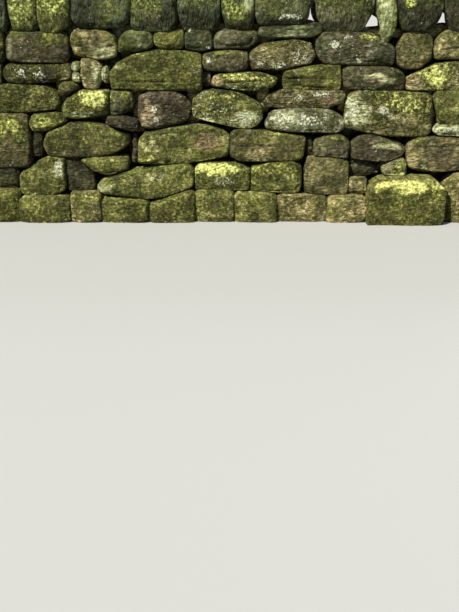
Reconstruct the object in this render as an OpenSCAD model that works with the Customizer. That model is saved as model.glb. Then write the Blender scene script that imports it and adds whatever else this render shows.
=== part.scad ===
// Dry stone field wall, four bays long, with battered faces and an upright cope.
// The origin is at the middle of the base, on the ground. X runs along the wall, Y across it, Z is up.

/* [Wall] */
// Length of the wall from head to head
wall_len = 3600; // [3200:50:4400]
// Thickness of the wall at the ground, between its two battered faces
base_t = 660; // [620:10:760]
// Slope of each face: how far it leans in over one metre of height
batter = 136; // [110:2:150]
// Height of the coursed masonry, from the ground to the underside of the cope
coursed_h = 1000; // [900:10:1100]

/* [Stones] */
// How far a facing stone runs into the wall at the ground
tail_foot = 230; // [190:5:250]
// How far a facing stone runs into the wall just under the cope
tail_top = 145; // [120:5:155]
// Radius of the worn edges round a stone's face
arris = 14; // [6:1:20]
// Width of the joints between the stones of the wall heads
joint = 9; // [5:1:14]
// How much is knocked off the corners of a squared stone
corner_cut = 16; // [8:1:24]
// How far the footing stones of the wall heads stand out of the face
footing_out = 30; // [10:5:60]
// Clearance between a stone and what it is seated on
seat_gap = 0.3; // [0.1:0.1:0.5]

/* [Wall heads] */
// Length of a tie stone, which lies across the wall at its end
tie_len = 270; // [230:10:330]
// Length of a runner, which lies along the wall at its end
runner_len = 450; // [400:10:520]

/* [Cope] */
// Height of the cope stones over the coursed masonry
cope_h = 280; // [240:5:320]
// Depth of the cope stones, across the wall
cope_depth = 410; // [400:5:440]
// Usual width along the wall of a cope stone over a wall head
cope_pitch = 225; // [180:5:280]
// How much is knocked off the upper corners of a cope stone over a wall head
shoulder_cut = 48; // [30:1:60]
// How much is knocked off the lower corners of a cope stone over a wall head
foot_cut = 34; // [20:1:40]

/* [Hidden] */
half_len = wall_len / 2;
base_half = base_t / 2;
// The stones of the face are drawn in centimetres, on a face that fills the space between the runners
// of the two wall heads. These are the drawing's half length, its height and the height of its cope.
DRAWN_HALF = 134.1;
DRAWN_H = 100;
DRAWN_COPE_H = 28;
face_end = half_len - runner_len - joint;
heart_end = half_len - tie_len - seat_gap;
heart_top = coursed_h - joint / 2;
// Steps in the rounding of a worn edge and of the top of the cope
arris_steps = 2;
dome_steps = 5;
// Share of a cope stone's height at which its dome springs, and how square the dome is, 1 being a half round
DOME_SPRING = 0.45;
DOME_POWER = 0.7;

// Each stone is [proud, outline]. Proud is how far its face stands out of the battered face, in mm.
// The outline is seen from the front, in cm, anticlockwise from the stone's lower left corner.
FOOTING = [
    [30, [[-134, 0], [-117.8, 0], [-117.8, 16], [-119.5, 17.3], [-134, 17.2]]],
    [40, [[-116.9, 0], [-89.7, 0], [-89.5, 11.6], [-91.5, 13.2], [-114.5, 13.4], [-117, 12]]],
    [30, [[-88.8, 0], [-72, 0], [-71.9, 12.5], [-74, 15.2], [-88.2, 15.4]]],
    [40, [[-71.1, 0], [-45, 0], [-44.8, 9.4], [-47.5, 11.3], [-62, 12.2], [-69.5, 12.4], [-71, 11]]],
    [50, [[-44, 0], [-20.2, 0], [-19.9, 15.4], [-22.5, 16.6], [-38, 11.9], [-43.9, 9.4]]],
    [30, [[-19, 0], [2.2, 0], [2.4, 14.8], [1, 16.2], [-17, 16.4], [-19, 15]]],
    [40, [[3.2, 0], [26, 0], [26.2, 13], [24, 14.8], [5, 15.6], [3.3, 14.2]]],
    [30, [[27, 0], [54, 0], [54.1, 12.4], [52.4, 13.5], [29, 14], [27.1, 12.6]]],
    [40, [[55, 0], [76.2, 0], [76.3, 12.2], [74.5, 13.6], [57, 13.8], [55.1, 12]]],
    [90, [[77.2, 0], [118, 0], [118.6, 19], [112, 24.4], [97, 24.1], [84, 22.9], [77.4, 18]]],
    [40, [[119.4, 0], [133.6, 0], [133.8, 26.2], [126, 25.6], [120, 19.6]]]
];
COURSE_1 = [
    [-10, [[-134, 18.4], [-118.5, 18.4], [-117.6, 24], [-118, 28.8], [-134, 29]]],
    [0, [[-116.5, 14.8], [-98, 14.6], [-92.8, 17], [-92.4, 33.2], [-98, 34.2], [-104, 33.6], [-111.4, 29.6],
        [-116.6, 25]]],
    [-10, [[-91.4, 16.4], [-76.2, 16.4], [-76, 24.4], [-83.6, 33], [-85.2, 34.2], [-91.4, 34.2]]],
    [10, [[-70, 15.2], [-49, 12.6], [-37, 13.6], [-20.8, 19], [-20.2, 28], [-23, 30.8], [-31, 30.4],
        [-57.5, 26.4], [-71, 21.8], [-74, 18.2]]],
    [0, [[-18.6, 17.5], [10.6, 17.2], [11.4, 20], [11.4, 27.6], [5, 30.4], [-8, 31.4], [-17, 31], [-19.2, 27]]],
    [0, [[12.6, 16.8], [38.6, 15.4], [39.8, 18], [39.8, 29], [35, 31.8], [22, 31.4], [12.9, 28.8]]],
    [0, [[43, 14.9], [65, 14.9], [66, 17], [66, 31.6], [62, 33.8], [44.2, 34.2], [42.4, 28]]],
    [-10, [[67, 15], [76.2, 15], [76.2, 22.6], [67.4, 23]]]
];
COURSE_2 = [
    [-20, [[-109, 35.4], [-104.6, 35.4], [-104, 42], [-104.2, 47.8], [-109, 48]]],
    [0, [[-75, 27.4], [-68, 25.6], [-57.6, 28], [-56.6, 30.6], [-57, 34], [-75.5, 34.4], [-81.6, 33]]],
    [-20, [[-53.8, 31.5], [-51.6, 31.5], [-51.2, 38], [-51.4, 46], [-53.4, 46.4], [-54.2, 40]]],
    [0, [[-50.2, 32], [-36, 31.2], [-24, 32], [-9, 33.8], [-1.4, 36], [-0.2, 45.5], [-4, 48.8], [-11, 51],
        [-21, 51.6], [-33, 50.2], [-46.5, 47.2], [-49.8, 43.5]]],
    [0, [[4.5, 33.2], [37.5, 33], [40.6, 35], [41.6, 45], [36, 46.6], [16, 49], [4.5, 49.3], [1.4, 47.6],
        [0.6, 41], [1.2, 35.6]]],
    [-20, [[43.2, 35.6], [46.4, 35.6], [46.6, 40], [46.4, 44], [43.2, 44.4]]],
    [0, [[47.6, 36], [57, 35], [66, 34.6], [66.6, 42], [62.5, 45.8], [58, 46.6], [52, 45.4], [47.8, 43.4]]],
    [0, [[68.4, 34.4], [82.5, 32.9], [89.5, 33.4], [95.8, 36.4], [97.2, 39.4], [94.6, 41.8], [78.2, 46.6],
        [72, 45], [68.2, 41]]],
    [-20, [[66.8, 24.2], [83.4, 24.4], [84, 28], [83.6, 31.4], [80, 32.2], [67.2, 33.2]]],
    [0, [[86.6, 25.4], [93.6, 24.8], [98, 25.4], [98, 32.4], [95.6, 34.8], [89.4, 32.2], [85.2, 29.6]]],
    [0, [[101.6, 28.6], [110.5, 26.8], [121, 27.6], [132.4, 29], [133.6, 36], [133, 44.2], [104, 45],
        [99.8, 42], [98.4, 38.2], [99.4, 31.6]]]
];
COURSE_3 = [
    [10, [[-134, 30], [-112, 30], [-110.8, 35], [-110.6, 50], [-111, 56], [-113, 57.4], [-134, 57.6]]],
    [0, [[-108.6, 49.6], [-100.5, 49.4], [-90.8, 53.6], [-90.2, 55], [-93.6, 58.2], [-108, 57.2], [-109.6, 53]]],
    [0, [[-100.4, 35.6], [-70, 35.5], [-60.5, 39], [-55.6, 43], [-56, 45.8], [-68, 51], [-77.5, 52.8],
        [-89, 52.4], [-99.8, 48], [-102.8, 42]]],
    [0, [[-67.4, 53], [-53, 49], [-51.2, 49.4], [-50.6, 54], [-57, 56], [-66.4, 56]]],
    [0, [[20.6, 50.4], [27, 49.4], [42.5, 48.4], [60, 48.4], [62.8, 50.5], [62.8, 55], [54.2, 60.4],
        [30, 60.3], [24, 58.6], [20, 53.5]]],
    [0, [[115.5, 47], [133.8, 46.8], [134, 51.8], [114.8, 51.6], [112.6, 49.4]]]
];
COURSE_4 = [
    [0, [[-90.3, 56.8], [-84, 55.8], [-77, 56.4], [-66.6, 58.2], [-66, 64], [-66.2, 69.6], [-82.5, 69.8],
        [-88.4, 66], [-92, 61]]],
    [0, [[-64.8, 57.6], [-57.5, 58.6], [-53.4, 61], [-52.8, 66], [-54.3, 69.4], [-64.8, 69.4]]],
    [0, [[-19.2, 56.2], [3, 51.2], [11, 50.6], [15.5, 52.4], [18, 57], [17.2, 62], [5.5, 68.6], [-6.8, 70],
        [-14.5, 69.2], [-19.2, 65.4], [-20, 60]]],
    [0, [[65, 50.4], [82, 47.4], [90, 46.6], [109, 46.4], [110.8, 49], [111, 58], [110.2, 67], [107, 68.6],
        [72.5, 69.6], [67.4, 68.6], [64.4, 64], [64, 52]]]
];
COURSE_5 = [
    [0, [[-134, 74.6], [-124.6, 74.6], [-124, 79], [-124.4, 84], [-134, 84.3]]],
    [0, [[-120.5, 74.6], [-103, 74.4], [-86.4, 76.4], [-85.6, 80], [-86, 83.8], [-104, 84], [-120.3, 83.4],
        [-122.8, 80]]],
    [0, [[-84.8, 80.8], [-82.2, 80.4], [-81.4, 82], [-81.6, 84], [-84.6, 84.4]]],
    [0, [[-84.6, 75.8], [-81.6, 75.2], [-81.2, 79.4], [-84.6, 79.8]]],
    [0, [[-78.4, 71.8], [-74.2, 70.8], [-72, 71.8], [-70, 76], [-69.3, 82], [-73, 86], [-79.8, 86.2],
        [-80.4, 80], [-80.4, 75]]],
    [0, [[-68.6, 75.6], [-66.6, 74.2], [-65.8, 77], [-65.8, 80], [-67.4, 82.2], [-68.6, 81]]],
    [0, [[-91.5, 67.4], [-82.2, 71.4], [-83.4, 74], [-89, 75.4], [-92, 73], [-92.8, 70]]],
    [0, [[-63.8, 71.6], [-47, 70.9], [-15.9, 70.9], [-15.4, 75], [-15.6, 88.6], [-23, 90], [-39, 91.2],
        [-50, 89], [-60.3, 84.2], [-64.8, 79]]],
    [-40, [[-14.2, 72.5], [-11, 72.5], [-10.9, 79.2], [-14.2, 79.6]]],
    [0, [[-9.8, 73.2], [4, 70.8], [14, 70.4], [23, 72.4], [26, 75.8], [18, 78.7], [4, 79.1], [-8.2, 77.4]]],
    [0, [[30.4, 71], [59.4, 71], [60.4, 74], [60.2, 82.8], [39, 82.2], [30.4, 80.2], [29.5, 75]]],
    [0, [[63.2, 71.8], [71, 70.9], [95.8, 70.2], [96.2, 73], [95.8, 76.4], [92, 80.4], [86, 82], [62.6, 82],
        [61.4, 77]]],
    [0, [[97.4, 71], [133, 71], [133.8, 74], [133.6, 83.2], [123, 84.6], [112.5, 83.4], [105.5, 80.9],
        [99, 77.6], [97.2, 75.8]]]
];
COURSE_6 = [
    [0, [[-134, 85.4], [-122, 85.4], [-121.2, 90], [-121.4, 98], [-122.6, 100.6], [-134, 100.3]]],
    [0, [[-118, 85.3], [-88.8, 85.1], [-87.2, 88], [-87, 97], [-88.8, 99.8], [-117.5, 100], [-119.6, 97.5],
        [-119.6, 87.4]]],
    [0, [[-83, 89], [-73, 87], [-66.6, 86.6], [-62, 88.2], [-60.8, 94], [-62.5, 98], [-69, 102.4],
        [-80, 102.8], [-84.3, 100.5], [-85.2, 95]]],
    [0, [[-13, 81.4], [4, 80.2], [9.2, 82.2], [9.8, 86], [9.4, 90], [-1.5, 90.6], [-13.6, 89.4], [-14.4, 85.4]]],
    [0, [[12.8, 81.6], [29, 81.6], [44, 85], [45.8, 88.5], [43.4, 94], [35.5, 95.8], [18, 93.8], [12.2, 90],
        [11, 86]]],
    [0, [[50.5, 85.2], [55.5, 84.2], [88, 83.8], [88.9, 88], [88.6, 92], [80, 97.4], [73.5, 100.4],
        [56, 100.6], [50, 99.2], [47, 95.5], [47.4, 90]]],
    [0, [[90.6, 84.4], [94.5, 82], [102.5, 82.2], [108.4, 86.2], [109.2, 91.5], [108.6, 97], [104.5, 100.4],
        [99.5, 101.3], [95.2, 99.8], [90.8, 93.5]]],
    [0, [[112, 86.9], [132.4, 87.4], [133.6, 92], [133.4, 98.6], [131, 100.6], [116.5, 100.4], [112.4, 97],
        [110.6, 92]]]
];
COURSE_7 = [
    [0, [[-59.4, 90.4], [-52, 90.4], [-41.8, 92.8], [-41.2, 97], [-41.6, 100.8], [-55, 100.4], [-59.2, 96.5]]],
    [0, [[-37.5, 92.5], [-26, 92.5], [-24.6, 95], [-25.4, 100.6], [-39.4, 101], [-40.2, 97], [-39.6, 94]]],
    [0, [[-23, 92], [-16, 91], [-9.8, 92.2], [-9, 95], [-9, 99.3], [-11, 101.2], [-22.4, 101.4], [-23.6, 97]]],
    [0, [[-7.6, 92.2], [10, 92.6], [14.5, 96], [14.8, 100.6], [0, 102.2], [-6.5, 100], [-8, 96]]],
    [0, [[16.2, 98.8], [23, 97.4], [43, 97.9], [49.4, 100.2], [49.4, 102.8], [46, 104.6], [20, 104],
        [16.2, 101.6]]]
];
// Through stones, one in each bay. They cross the whole wall, so they have the same outline on both faces.
THROUGHS = [
    [[-134, 58.8], [-109, 59.1], [-95.2, 60.6], [-93, 64.5], [-93.8, 68.5], [-99, 71.8], [-116, 73.2],
        [-134, 72.5]],
    [[-47.6, 51.2], [-38.5, 50.8], [-25.5, 53.2], [-22.6, 55.6], [-20.8, 61], [-24, 66.6], [-30, 69.6],
        [-44, 69.6], [-49.2, 67], [-49.6, 56]],
    [[19.8, 61.6], [55, 61.6], [61.6, 64.5], [62.8, 67.6], [61.5, 69.8], [30, 70], [21.8, 67.4], [19, 63.4]],
    [[116, 53.2], [133.8, 53], [134, 69.8], [113, 69.6], [112, 66.8]]
];
// Fronts of the drawn cope stones, from left to right
COPES = [
    [[-132, 101.4], [-121, 101.2], [-119.2, 105], [-118.8, 116], [-121, 124], [-129, 126.4], [-133.6, 122],
        [-133.8, 106]],
    [[-114.5, 100.6], [-105.5, 100.5], [-102.8, 104], [-102.8, 121], [-104.4, 126], [-111, 128],
        [-116, 124], [-117, 110]],
    [[-99.5, 101], [-93, 101], [-86, 104.4], [-84.8, 112], [-86, 123], [-91, 127.2], [-98.5, 126.5],
        [-101.4, 120], [-101.6, 106]],
    [[-80, 104], [-58, 103.8], [-53.8, 107], [-52.9, 116], [-55, 124], [-64, 128], [-76, 127.4],
        [-82, 122], [-83.2, 108]],
    [[-50, 101.9], [-31, 101.8], [-28.8, 105], [-29.2, 116], [-32, 124.6], [-40, 127.6], [-49, 124.4],
        [-51.6, 112], [-51.8, 105]],
    [[-23.5, 102.4], [-8, 102.4], [-6.2, 106], [-5.6, 116], [-8.4, 124.6], [-18, 127], [-25, 122],
        [-26.8, 114], [-25.4, 106]],
    [[-0.6, 103.2], [11, 103.2], [12.2, 107], [12.4, 121], [9, 126.6], [1, 126.5], [-2.8, 121], [-3.4, 112]],
    [[16, 105.4], [39.8, 105.2], [41.8, 109], [42.4, 118], [38.6, 125.6], [26, 128], [16.4, 124.8],
        [14, 116], [14.2, 109]],
    [[52, 101.2], [71.5, 101.2], [74, 106.2], [76.4, 112], [76.2, 122], [70, 127.2], [56, 128],
        [48, 124], [46.2, 114], [47.2, 107.4]],
    [[81.6, 98.2], [84.2, 96.4], [87, 99], [88.6, 105], [88, 118], [86, 125.4], [80.5, 126.5],
        [77.8, 122], [77.6, 116], [78.8, 109]],
    [[94, 102.2], [106, 102.2], [111, 106], [112.8, 112], [112.8, 121], [108, 127.2], [96, 127.6],
        [90.6, 123], [89.8, 113], [91, 106]],
    [[118, 101.4], [130.8, 101.4], [134, 106], [134.4, 119], [131, 126.4], [119.6, 127.4], [115, 122],
        [114, 113], [115.4, 106.4]]
];
COURSES = [FOOTING, COURSE_1, COURSE_2, COURSE_3, COURSE_4, COURSE_5, COURSE_6, COURSE_7];
// Heights in cm at which the beds meet the left and the right wall head
LEFT_LEVELS = [0, 17.6, 29.5, 44, 58.2, 73.9, 84.9, 100.6];
RIGHT_LEVELS = [0, 13.5, 26.9, 45.6, 52.4, 70.4, 85.6, 100.9];
HEAD_ROWS = 7;
// How far each length of hearting stops below the rest, in cm, from left to right.
// It stops lower where a narrow cope stone reaches down between two others.
HEART_DIPS = [0, 0, 0, 5.5, 0];

// Half the thickness of the wall, and of its hearting, at a height
function face_half(z) = base_half - batter * z / 1000;
function tail_at(z) = tail_foot + (tail_top - tail_foot) * z / coursed_h;
function core_half(z) = face_half(z) - tail_at(z);

// Drawn centimetres to millimetres on this wall: along it, and up it below the cope and in the cope
function along(x) = x * face_end / DRAWN_HALF;
function bed_z(z) = z * coursed_h / DRAWN_H;
function to_face(o) = [for (p = o) [along(p.x), bed_z(p.y)]];
function to_cope(o) = [for (p = o) [along(p.x), coursed_h + (p.y - DRAWN_H) * cope_h / DRAWN_COPE_H]];

// A number from -1 to 1 that looks random but is always the same for the same seed
function wobble(seed) = sin(seed * 137.5);

// Outline of a roughly squared stone: a rectangle with four corners knocked off unevenly.
// The lower corners lose about low, the upper ones about high.
function rough_block(x0, x1, z0, z1, low, high, seed) =
    let (l = [for (k = [0:3]) low * (1 + 0.35 * wobble(seed + k))],
         h = [for (k = [4:7]) high * (1 + 0.35 * wobble(seed + k))])
    [[x0 + l[0], z0], [x1 - l[1], z0], [x1, z0 + l[2]], [x1, z1 - h[0]], [x1 - h[1], z1], [x0 + h[2], z1],
        [x0, z1 - h[3]], [x0, z0 + l[3]]];

// Edge i of an outline as a unit vector
function edge(o, i) = let (v = o[(i + 1) % len(o)] - o[i]) v / norm(v);
// Least distance across a convex outline
function narrowest(o) = min([for (i = [0:len(o) - 1])
    let (e = edge(o, i)) max([for (p = o) abs(cross(e, p - o[i]))])]);
// Outline moved inwards by d: each corner goes to where its two moved edges cross
function inset(o, d) = let (n = len(o)) [for (i = [0:n - 1])
    let (a = edge(o, (i + n - 1) % n), b = edge(o, i))
    o[i] + d * [-a.y - b.y, a.x + b.x] / (1 + a * b)];
// Radius of the worn edge of one stone, which is smaller on a small stone
function worn(o) = min(arris, narrowest(o) / 5);

// Heights at which an upright line at x crosses an outline
function crossings(o, x) = [for (i = [0:len(o) - 1])
    let (p = o[i], q = o[(i + 1) % len(o)])
    if (p.x != q.x && min(p.x, q.x) <= x && x <= max(p.x, q.x)) p.y + (q.y - p.y) * (x - p.x) / (q.x - p.x)];
// How far stone o can come down before it touches stone base, both as outlines
function headroom(o, base) =
    let (x0 = max(min([for (p = o) p.x]), min([for (p = base) p.x])),
         x1 = min(max([for (p = o) p.x]), max([for (p = base) p.x])),
         at = x0 >= x1 ? [] : concat([x0, x1], [for (p = concat(o, base)) if (p.x > x0 && p.x < x1) p.x]))
    len(at) == 0 ? coursed_h + cope_h : min([for (x = at) min(crossings(o, x)) - max(crossings(base, x))]);
// Stone o let down until it lies on the highest of the stones below it
function laid_on(o, bases) = let (drop = min([for (b = bases) headroom(o, b)]) - seat_gap)
    [for (p = o) p - [0, drop]];

// Beds of the rows at the left (side -1) and the right (side 1) wall head
function level(side, row) = bed_z((side < 0 ? LEFT_LEVELS : RIGHT_LEVELS)[row]);
function row_z0(side, row) = row == 0 ? 0 : level(side, row) + joint / 2;
function row_z1(side, row) = level(side, row + 1) - joint / 2;
// Ties and runners take turns up a wall head, with runners at the foot
function is_tie(row) = row % 2 == 1;
// Distance from the middle of the wall to the inner end of the head stones in a row
function head_start(row) = half_len - (is_tie(row) ? tie_len : runner_len);
// A squared stone from x0 to x1 outwards along the wall, on the left or the right side
function sided(side, x0, x1, z0, z1, low, high, seed) = side < 0
    ? rough_block(-x1, -x0, z0, z1, low, high, seed)
    : rough_block(x0, x1, z0, z1, low, high, seed + 9);
function head_outline(side, row) = sided(side, head_start(row), half_len, row_z0(side, row),
    row_z1(side, row), corner_cut, corner_cut, 17 * row);
// Stone beside a tie, which fills the row as far as the drawn face
function closer_outline(side, row) = sided(side, half_len - runner_len, head_start(row) - joint,
    row_z0(side, row), row_z1(side, row), corner_cut, corner_cut, 31 * row);

// Cope stones over a wall head, from the drawn ones outwards
function outer_copes(side) =
    let (x0 = face_end + joint, n = round(runner_len / cope_pitch), pitch = (runner_len + joint) / n)
    [for (k = [0:n - 1])
        sided(side, x0 + k * pitch, x0 + (k + 1) * pitch - joint, coursed_h,
            coursed_h + cope_h * (0.92 + 0.04 * wobble(3 * k + side)), foot_cut, shoulder_cut, 23 * k + 5)];
// Stones that the cope can lie on
TOP_ROW = HEAD_ROWS - 1;
TOP_STONES = concat([for (s = COURSE_6) to_face(s[1])], [for (s = COURSE_7) to_face(s[1])],
    [for (side = [-1, 1]) head_outline(side, TOP_ROW)]);
left_copes = outer_copes(-1);
right_copes = outer_copes(1);
COPE_ROW = [for (o = concat([for (k = [len(left_copes) - 1:-1:0]) left_copes[k]],
    [for (c = COPES) to_cope(c)], right_copes)) laid_on(o, TOP_STONES)];

function two_digits(i) = str(i < 10 ? "0" : "", i);
function cope_name(i) = str("cope_stone_", two_digits(i));
function through_name(i) = str("through_stone_", i);
function course_name(face, k) = k == 0 ? str(face, "_footing") : str(face, "_course_", k);
LAST_COURSE = len(COURSES) - 1;

// Solid through a list of rings, all with the same number of points
module loft(rings) {
    n = len(rings[0]);
    last = len(rings) - 1;
    polyhedron(
        points = [for (r = rings) for (p = r) p],
        faces = concat(
            [[for (i = [n - 1:-1:0]) i]],
            [for (k = [0:last - 1]) for (i = [0:n - 1])
                let (j = (i + 1) % n) [k * n + i, k * n + j, (k + 1) * n + j, (k + 1) * n + i]],
            [[for (i = [0:n - 1]) last * n + i]]),
        convexity = 2);
}

// Rings of a stone's face and its worn edge, from the face inwards.
// side is -1 for the front of the wall and 1 for its back.
function face_rings(o, proud, side) = let (r = worn(o)) [for (k = [0:arris_steps])
    let (turn = 90 * k / arris_steps)
    [for (p = inset(o, r * (1 - sin(turn))))
        [p.x, side * (face_half(p.y) + proud - r * (1 - cos(turn))), p.y]]];

// Facing stone: its face follows the batter and its tail is seated on the hearting
module facing_stone(o, proud) {
    tail = [for (p = o) [p.x, -core_half(p.y) - seat_gap, p.y]];
    loft(concat(face_rings(o, proud, -1), [tail]));
}

// Stone that crosses the whole wall, with a worn face at each end
module crossing_stone(o, proud) {
    back = face_rings(o, proud, 1);
    loft(concat(face_rings(o, proud, -1), [for (k = [arris_steps:-1:0]) back[k]]));
}

// One length of hearting, between x0 and x1 and between z0 and z1
module packing(x0, x1, z0, z1) {
    section = [[-core_half(z0), z0], [core_half(z0), z0], [core_half(z1), z1], [-core_half(z1), z1]];
    translate([x0, 0, 0]) rotate([90, 0, 90]) linear_extrude(x1 - x0) polygon(section);
}

// Small stones packed between the faces. They stop at each through stone, and go on under and over it.
module hearting() {
    throughs = [for (t = THROUGHS) to_face(t)];
    starts = concat([-heart_end], [for (t = throughs) max([for (p = t) p.x]) + seat_gap]);
    ends = concat([for (t = throughs) min([for (p = t) p.x]) - seat_gap], [heart_end]);
    color("#5d5747") {
        for (i = [0:len(starts) - 1])
            packing(starts[i], ends[i], 0, heart_top - bed_z(HEART_DIPS[i]));
        for (t = throughs) {
            x0 = min([for (p = t) p.x]);
            x1 = max([for (p = t) p.x]);
            packing(x0, x1, 0, min([for (p = t) p.y]) - seat_gap);
            packing(x0, x1, max([for (p = t) p.y]) + seat_gap, heart_top);
        }
    }
}

module through_stone(i) {
    color("#6b6248") crossing_stone(to_face(THROUGHS[i - 1]), 0);
}

// One course of the front face: the drawn stones, then those that make it up to the wall heads
module course(k) {
    color(k == 0 ? "#66623f" : k % 2 == 1 ? "#74694c" : "#625c46") {
        for (s = COURSES[k])
            facing_stone(to_face(s[1]), s[0]);
        if (k < HEAD_ROWS && is_tie(k))
            for (side = [-1, 1]) facing_stone(closer_outline(side, k), 0);
    }
}

// End of the wall: tie stones across it take turns with pairs of runners along it.
// Between two runners lies a packing stone.
module wall_head(side) {
    color("#7a7058") for (row = [0:HEAD_ROWS - 1]) {
        o = head_outline(side, row);
        if (is_tie(row)) {
            crossing_stone(o, 0);
        } else {
            for (m = [0, 1]) mirror([0, m, 0]) facing_stone(o, row == 0 ? footing_out : 0);
            x0 = side < 0 ? -half_len + arris : half_len - tie_len;
            packing(x0, x0 + tie_len - arris, row_z0(side, row), row_z1(side, row));
        }
    }
}

// Section across the wall of a cope stone: upright sides with worn lower edges under a dome
function cope_section(z0, z1) =
    let (half = cope_depth / 2, spring = z0 + DOME_SPRING * (z1 - z0))
    concat([[arris - half, z0], [half - arris, z0], [half, z0 + arris]],
        [for (k = [0:dome_steps]) let (turn = 180 * k / dome_steps)
            [half * sign(cos(turn)) * pow(abs(cos(turn)), DOME_POWER),
                spring + (z1 - spring) * pow(sin(turn), DOME_POWER)]],
        [[-half, z0 + arris]]);

// Cope stone: its front outline run through the wall, within its section run along the wall
module cope_stone(i) {
    o = COPE_ROW[i - 1];
    z0 = min([for (p = o) p.y]);
    z1 = max([for (p = o) p.y]);
    color("#6d6a50") intersection() {
        translate([0, cope_depth, 0]) rotate([90, 0, 0]) linear_extrude(2 * cope_depth) polygon(o);
        translate([-half_len - joint, 0, 0]) rotate([90, 0, 90]) linear_extrude(wall_len + 2 * joint)
            polygon(cope_section(z0, z1));
    }
}

hearting();
for (i = [1:len(THROUGHS)])
    through_stone(i);
for (k = [0:LAST_COURSE])
    course(k);
for (k = [0:LAST_COURSE])
    mirror([0, 1, 0]) course(k);
wall_head(-1);  // left_wall_head
wall_head(1);  // right_wall_head
for (i = [1:len(COPE_ROW)])
    cope_stone(i);
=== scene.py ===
# %% [markdown]
# # A dry stone field wall
# The wall is laid without mortar. Two leaning faces of rough gritstone stand over a core of small
# stones, through stones tie the faces together, and a row of stones on edge caps it.
# The CAD model already has every large stone as a flat-sided block at its real size and place. This
# lesson turns each block into a weathered stone of its outline, and then grows moss and lichen on it.

# %% Load the wall
from math import radians

import bpy
import numpy as np
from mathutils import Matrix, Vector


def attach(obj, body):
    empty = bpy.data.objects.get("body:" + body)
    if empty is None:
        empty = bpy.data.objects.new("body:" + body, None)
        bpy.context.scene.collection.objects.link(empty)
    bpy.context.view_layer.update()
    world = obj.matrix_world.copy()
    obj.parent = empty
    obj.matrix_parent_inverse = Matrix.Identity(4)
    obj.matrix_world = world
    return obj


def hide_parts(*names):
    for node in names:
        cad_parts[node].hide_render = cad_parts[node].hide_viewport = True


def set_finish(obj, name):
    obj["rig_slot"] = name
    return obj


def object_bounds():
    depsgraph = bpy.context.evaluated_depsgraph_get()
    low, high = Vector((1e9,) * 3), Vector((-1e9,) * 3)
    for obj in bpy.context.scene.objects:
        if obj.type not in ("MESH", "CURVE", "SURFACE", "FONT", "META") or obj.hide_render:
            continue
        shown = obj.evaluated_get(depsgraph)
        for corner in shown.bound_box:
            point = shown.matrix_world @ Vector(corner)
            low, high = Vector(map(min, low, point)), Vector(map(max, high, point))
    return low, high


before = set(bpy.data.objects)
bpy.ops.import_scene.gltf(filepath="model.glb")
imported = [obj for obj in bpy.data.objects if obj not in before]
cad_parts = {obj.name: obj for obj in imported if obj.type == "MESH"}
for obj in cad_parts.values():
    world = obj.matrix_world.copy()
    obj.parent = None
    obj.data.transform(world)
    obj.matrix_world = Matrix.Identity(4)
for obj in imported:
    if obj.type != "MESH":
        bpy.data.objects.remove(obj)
cad_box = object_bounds()
print("nodes:", len(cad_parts), "box:", [tuple(round(v, 3) for v in corner) for corner in cad_box])

# %% [markdown]
# ## Camera
# The camera comes first, so that every later step can be judged from where the photograph was taken.
# The photograph looks down on the wall from a standing person's chest height. Its tilt and its lens
# come from how the rows of stones shrink and spread towards the bottom of the picture.

# %% Camera
CAMERA_PLACE = (0.0, -4.679, 1.247)
CAMERA_TILT = 22.0
PHOTO_HEIGHT = 612
FOCAL_PIXELS = 800.0
SENSOR = 36.0

camera_data = bpy.data.cameras.new("camera")
camera_data.sensor_fit = "VERTICAL"
camera_data.sensor_height = SENSOR
camera_data.lens = FOCAL_PIXELS / PHOTO_HEIGHT * SENSOR
camera_data.clip_end = 200.0
camera = bpy.data.objects.new("camera", camera_data)
camera.location = CAMERA_PLACE
camera.rotation_euler = (radians(90.0 - CAMERA_TILT), 0.0, 0.0)
bpy.context.scene.collection.objects.link(camera)
bpy.context.scene.camera = camera
print("lens:", round(camera_data.lens, 2), "mm")

# %% [markdown]
# ## Noise
# Natural stone is uneven at every size, from the swell of a whole face down to single grains.
# Blender's Displace modifier could do this from a texture. Here the same kind of noise is worked out
# with numpy, because one function can then shape the surface and also say where moss takes hold.

# %% Noise
# How much finer each layer of noise is than the one before, and how far it is shifted
FINER, LAYER_SHIFT = 2.03, 17.3
shuffle = np.random.default_rng(7).permutation(256)
heights = np.random.default_rng(8).random(256)


def lattice(x, y, z):
    """A repeatable random number from 0 to 1 for each point with whole-number coordinates."""
    return heights[shuffle[(shuffle[(shuffle[x & 255] + y) & 255] + z) & 255]]


def soft_noise(points):
    """Value noise from 0 to 1: the eight lattice numbers round a point, each weighted by the product of
    3t^2 - 2t^3 or its complement along the three axes, where t is the place inside the lattice cell."""
    whole = np.floor(points).astype(int)
    t = points - whole
    t = t * t * (3.0 - 2.0 * t)
    x, y, z = whole.T
    total = np.zeros(len(points))
    for dx in (0, 1):
        for dy in (0, 1):
            for dz in (0, 1):
                weight = np.abs((1 - dx) - t[:, 0]) * np.abs((1 - dy) - t[:, 1]) * np.abs((1 - dz) - t[:, 2])
                total += weight * lattice(x + dx, y + dy, z + dz)
    return total


def layered_noise(points, size, layers=3):
    """Noise from 0 to 1 with features of a size in metres, or of a size along each axis: a sum of soft
    noise where each layer is about half as large and half as strong as the one before."""
    total = np.zeros(len(points))
    strength = 1.0
    scaled = points / np.asarray(size)
    for layer in range(layers):
        total += strength * soft_noise(scaled + LAYER_SHIFT * layer)
        scaled = scaled * FINER
        strength /= 2.0
    return total / (2.0 - 2.0 * strength)


def ramp(value, low, high):
    """0 below low, 1 above high, and 3t^2 - 2t^3 between them."""
    t = np.clip((value - low) / (high - low), 0.0, 1.0)
    return t * t * (3.0 - 2.0 * t)


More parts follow.
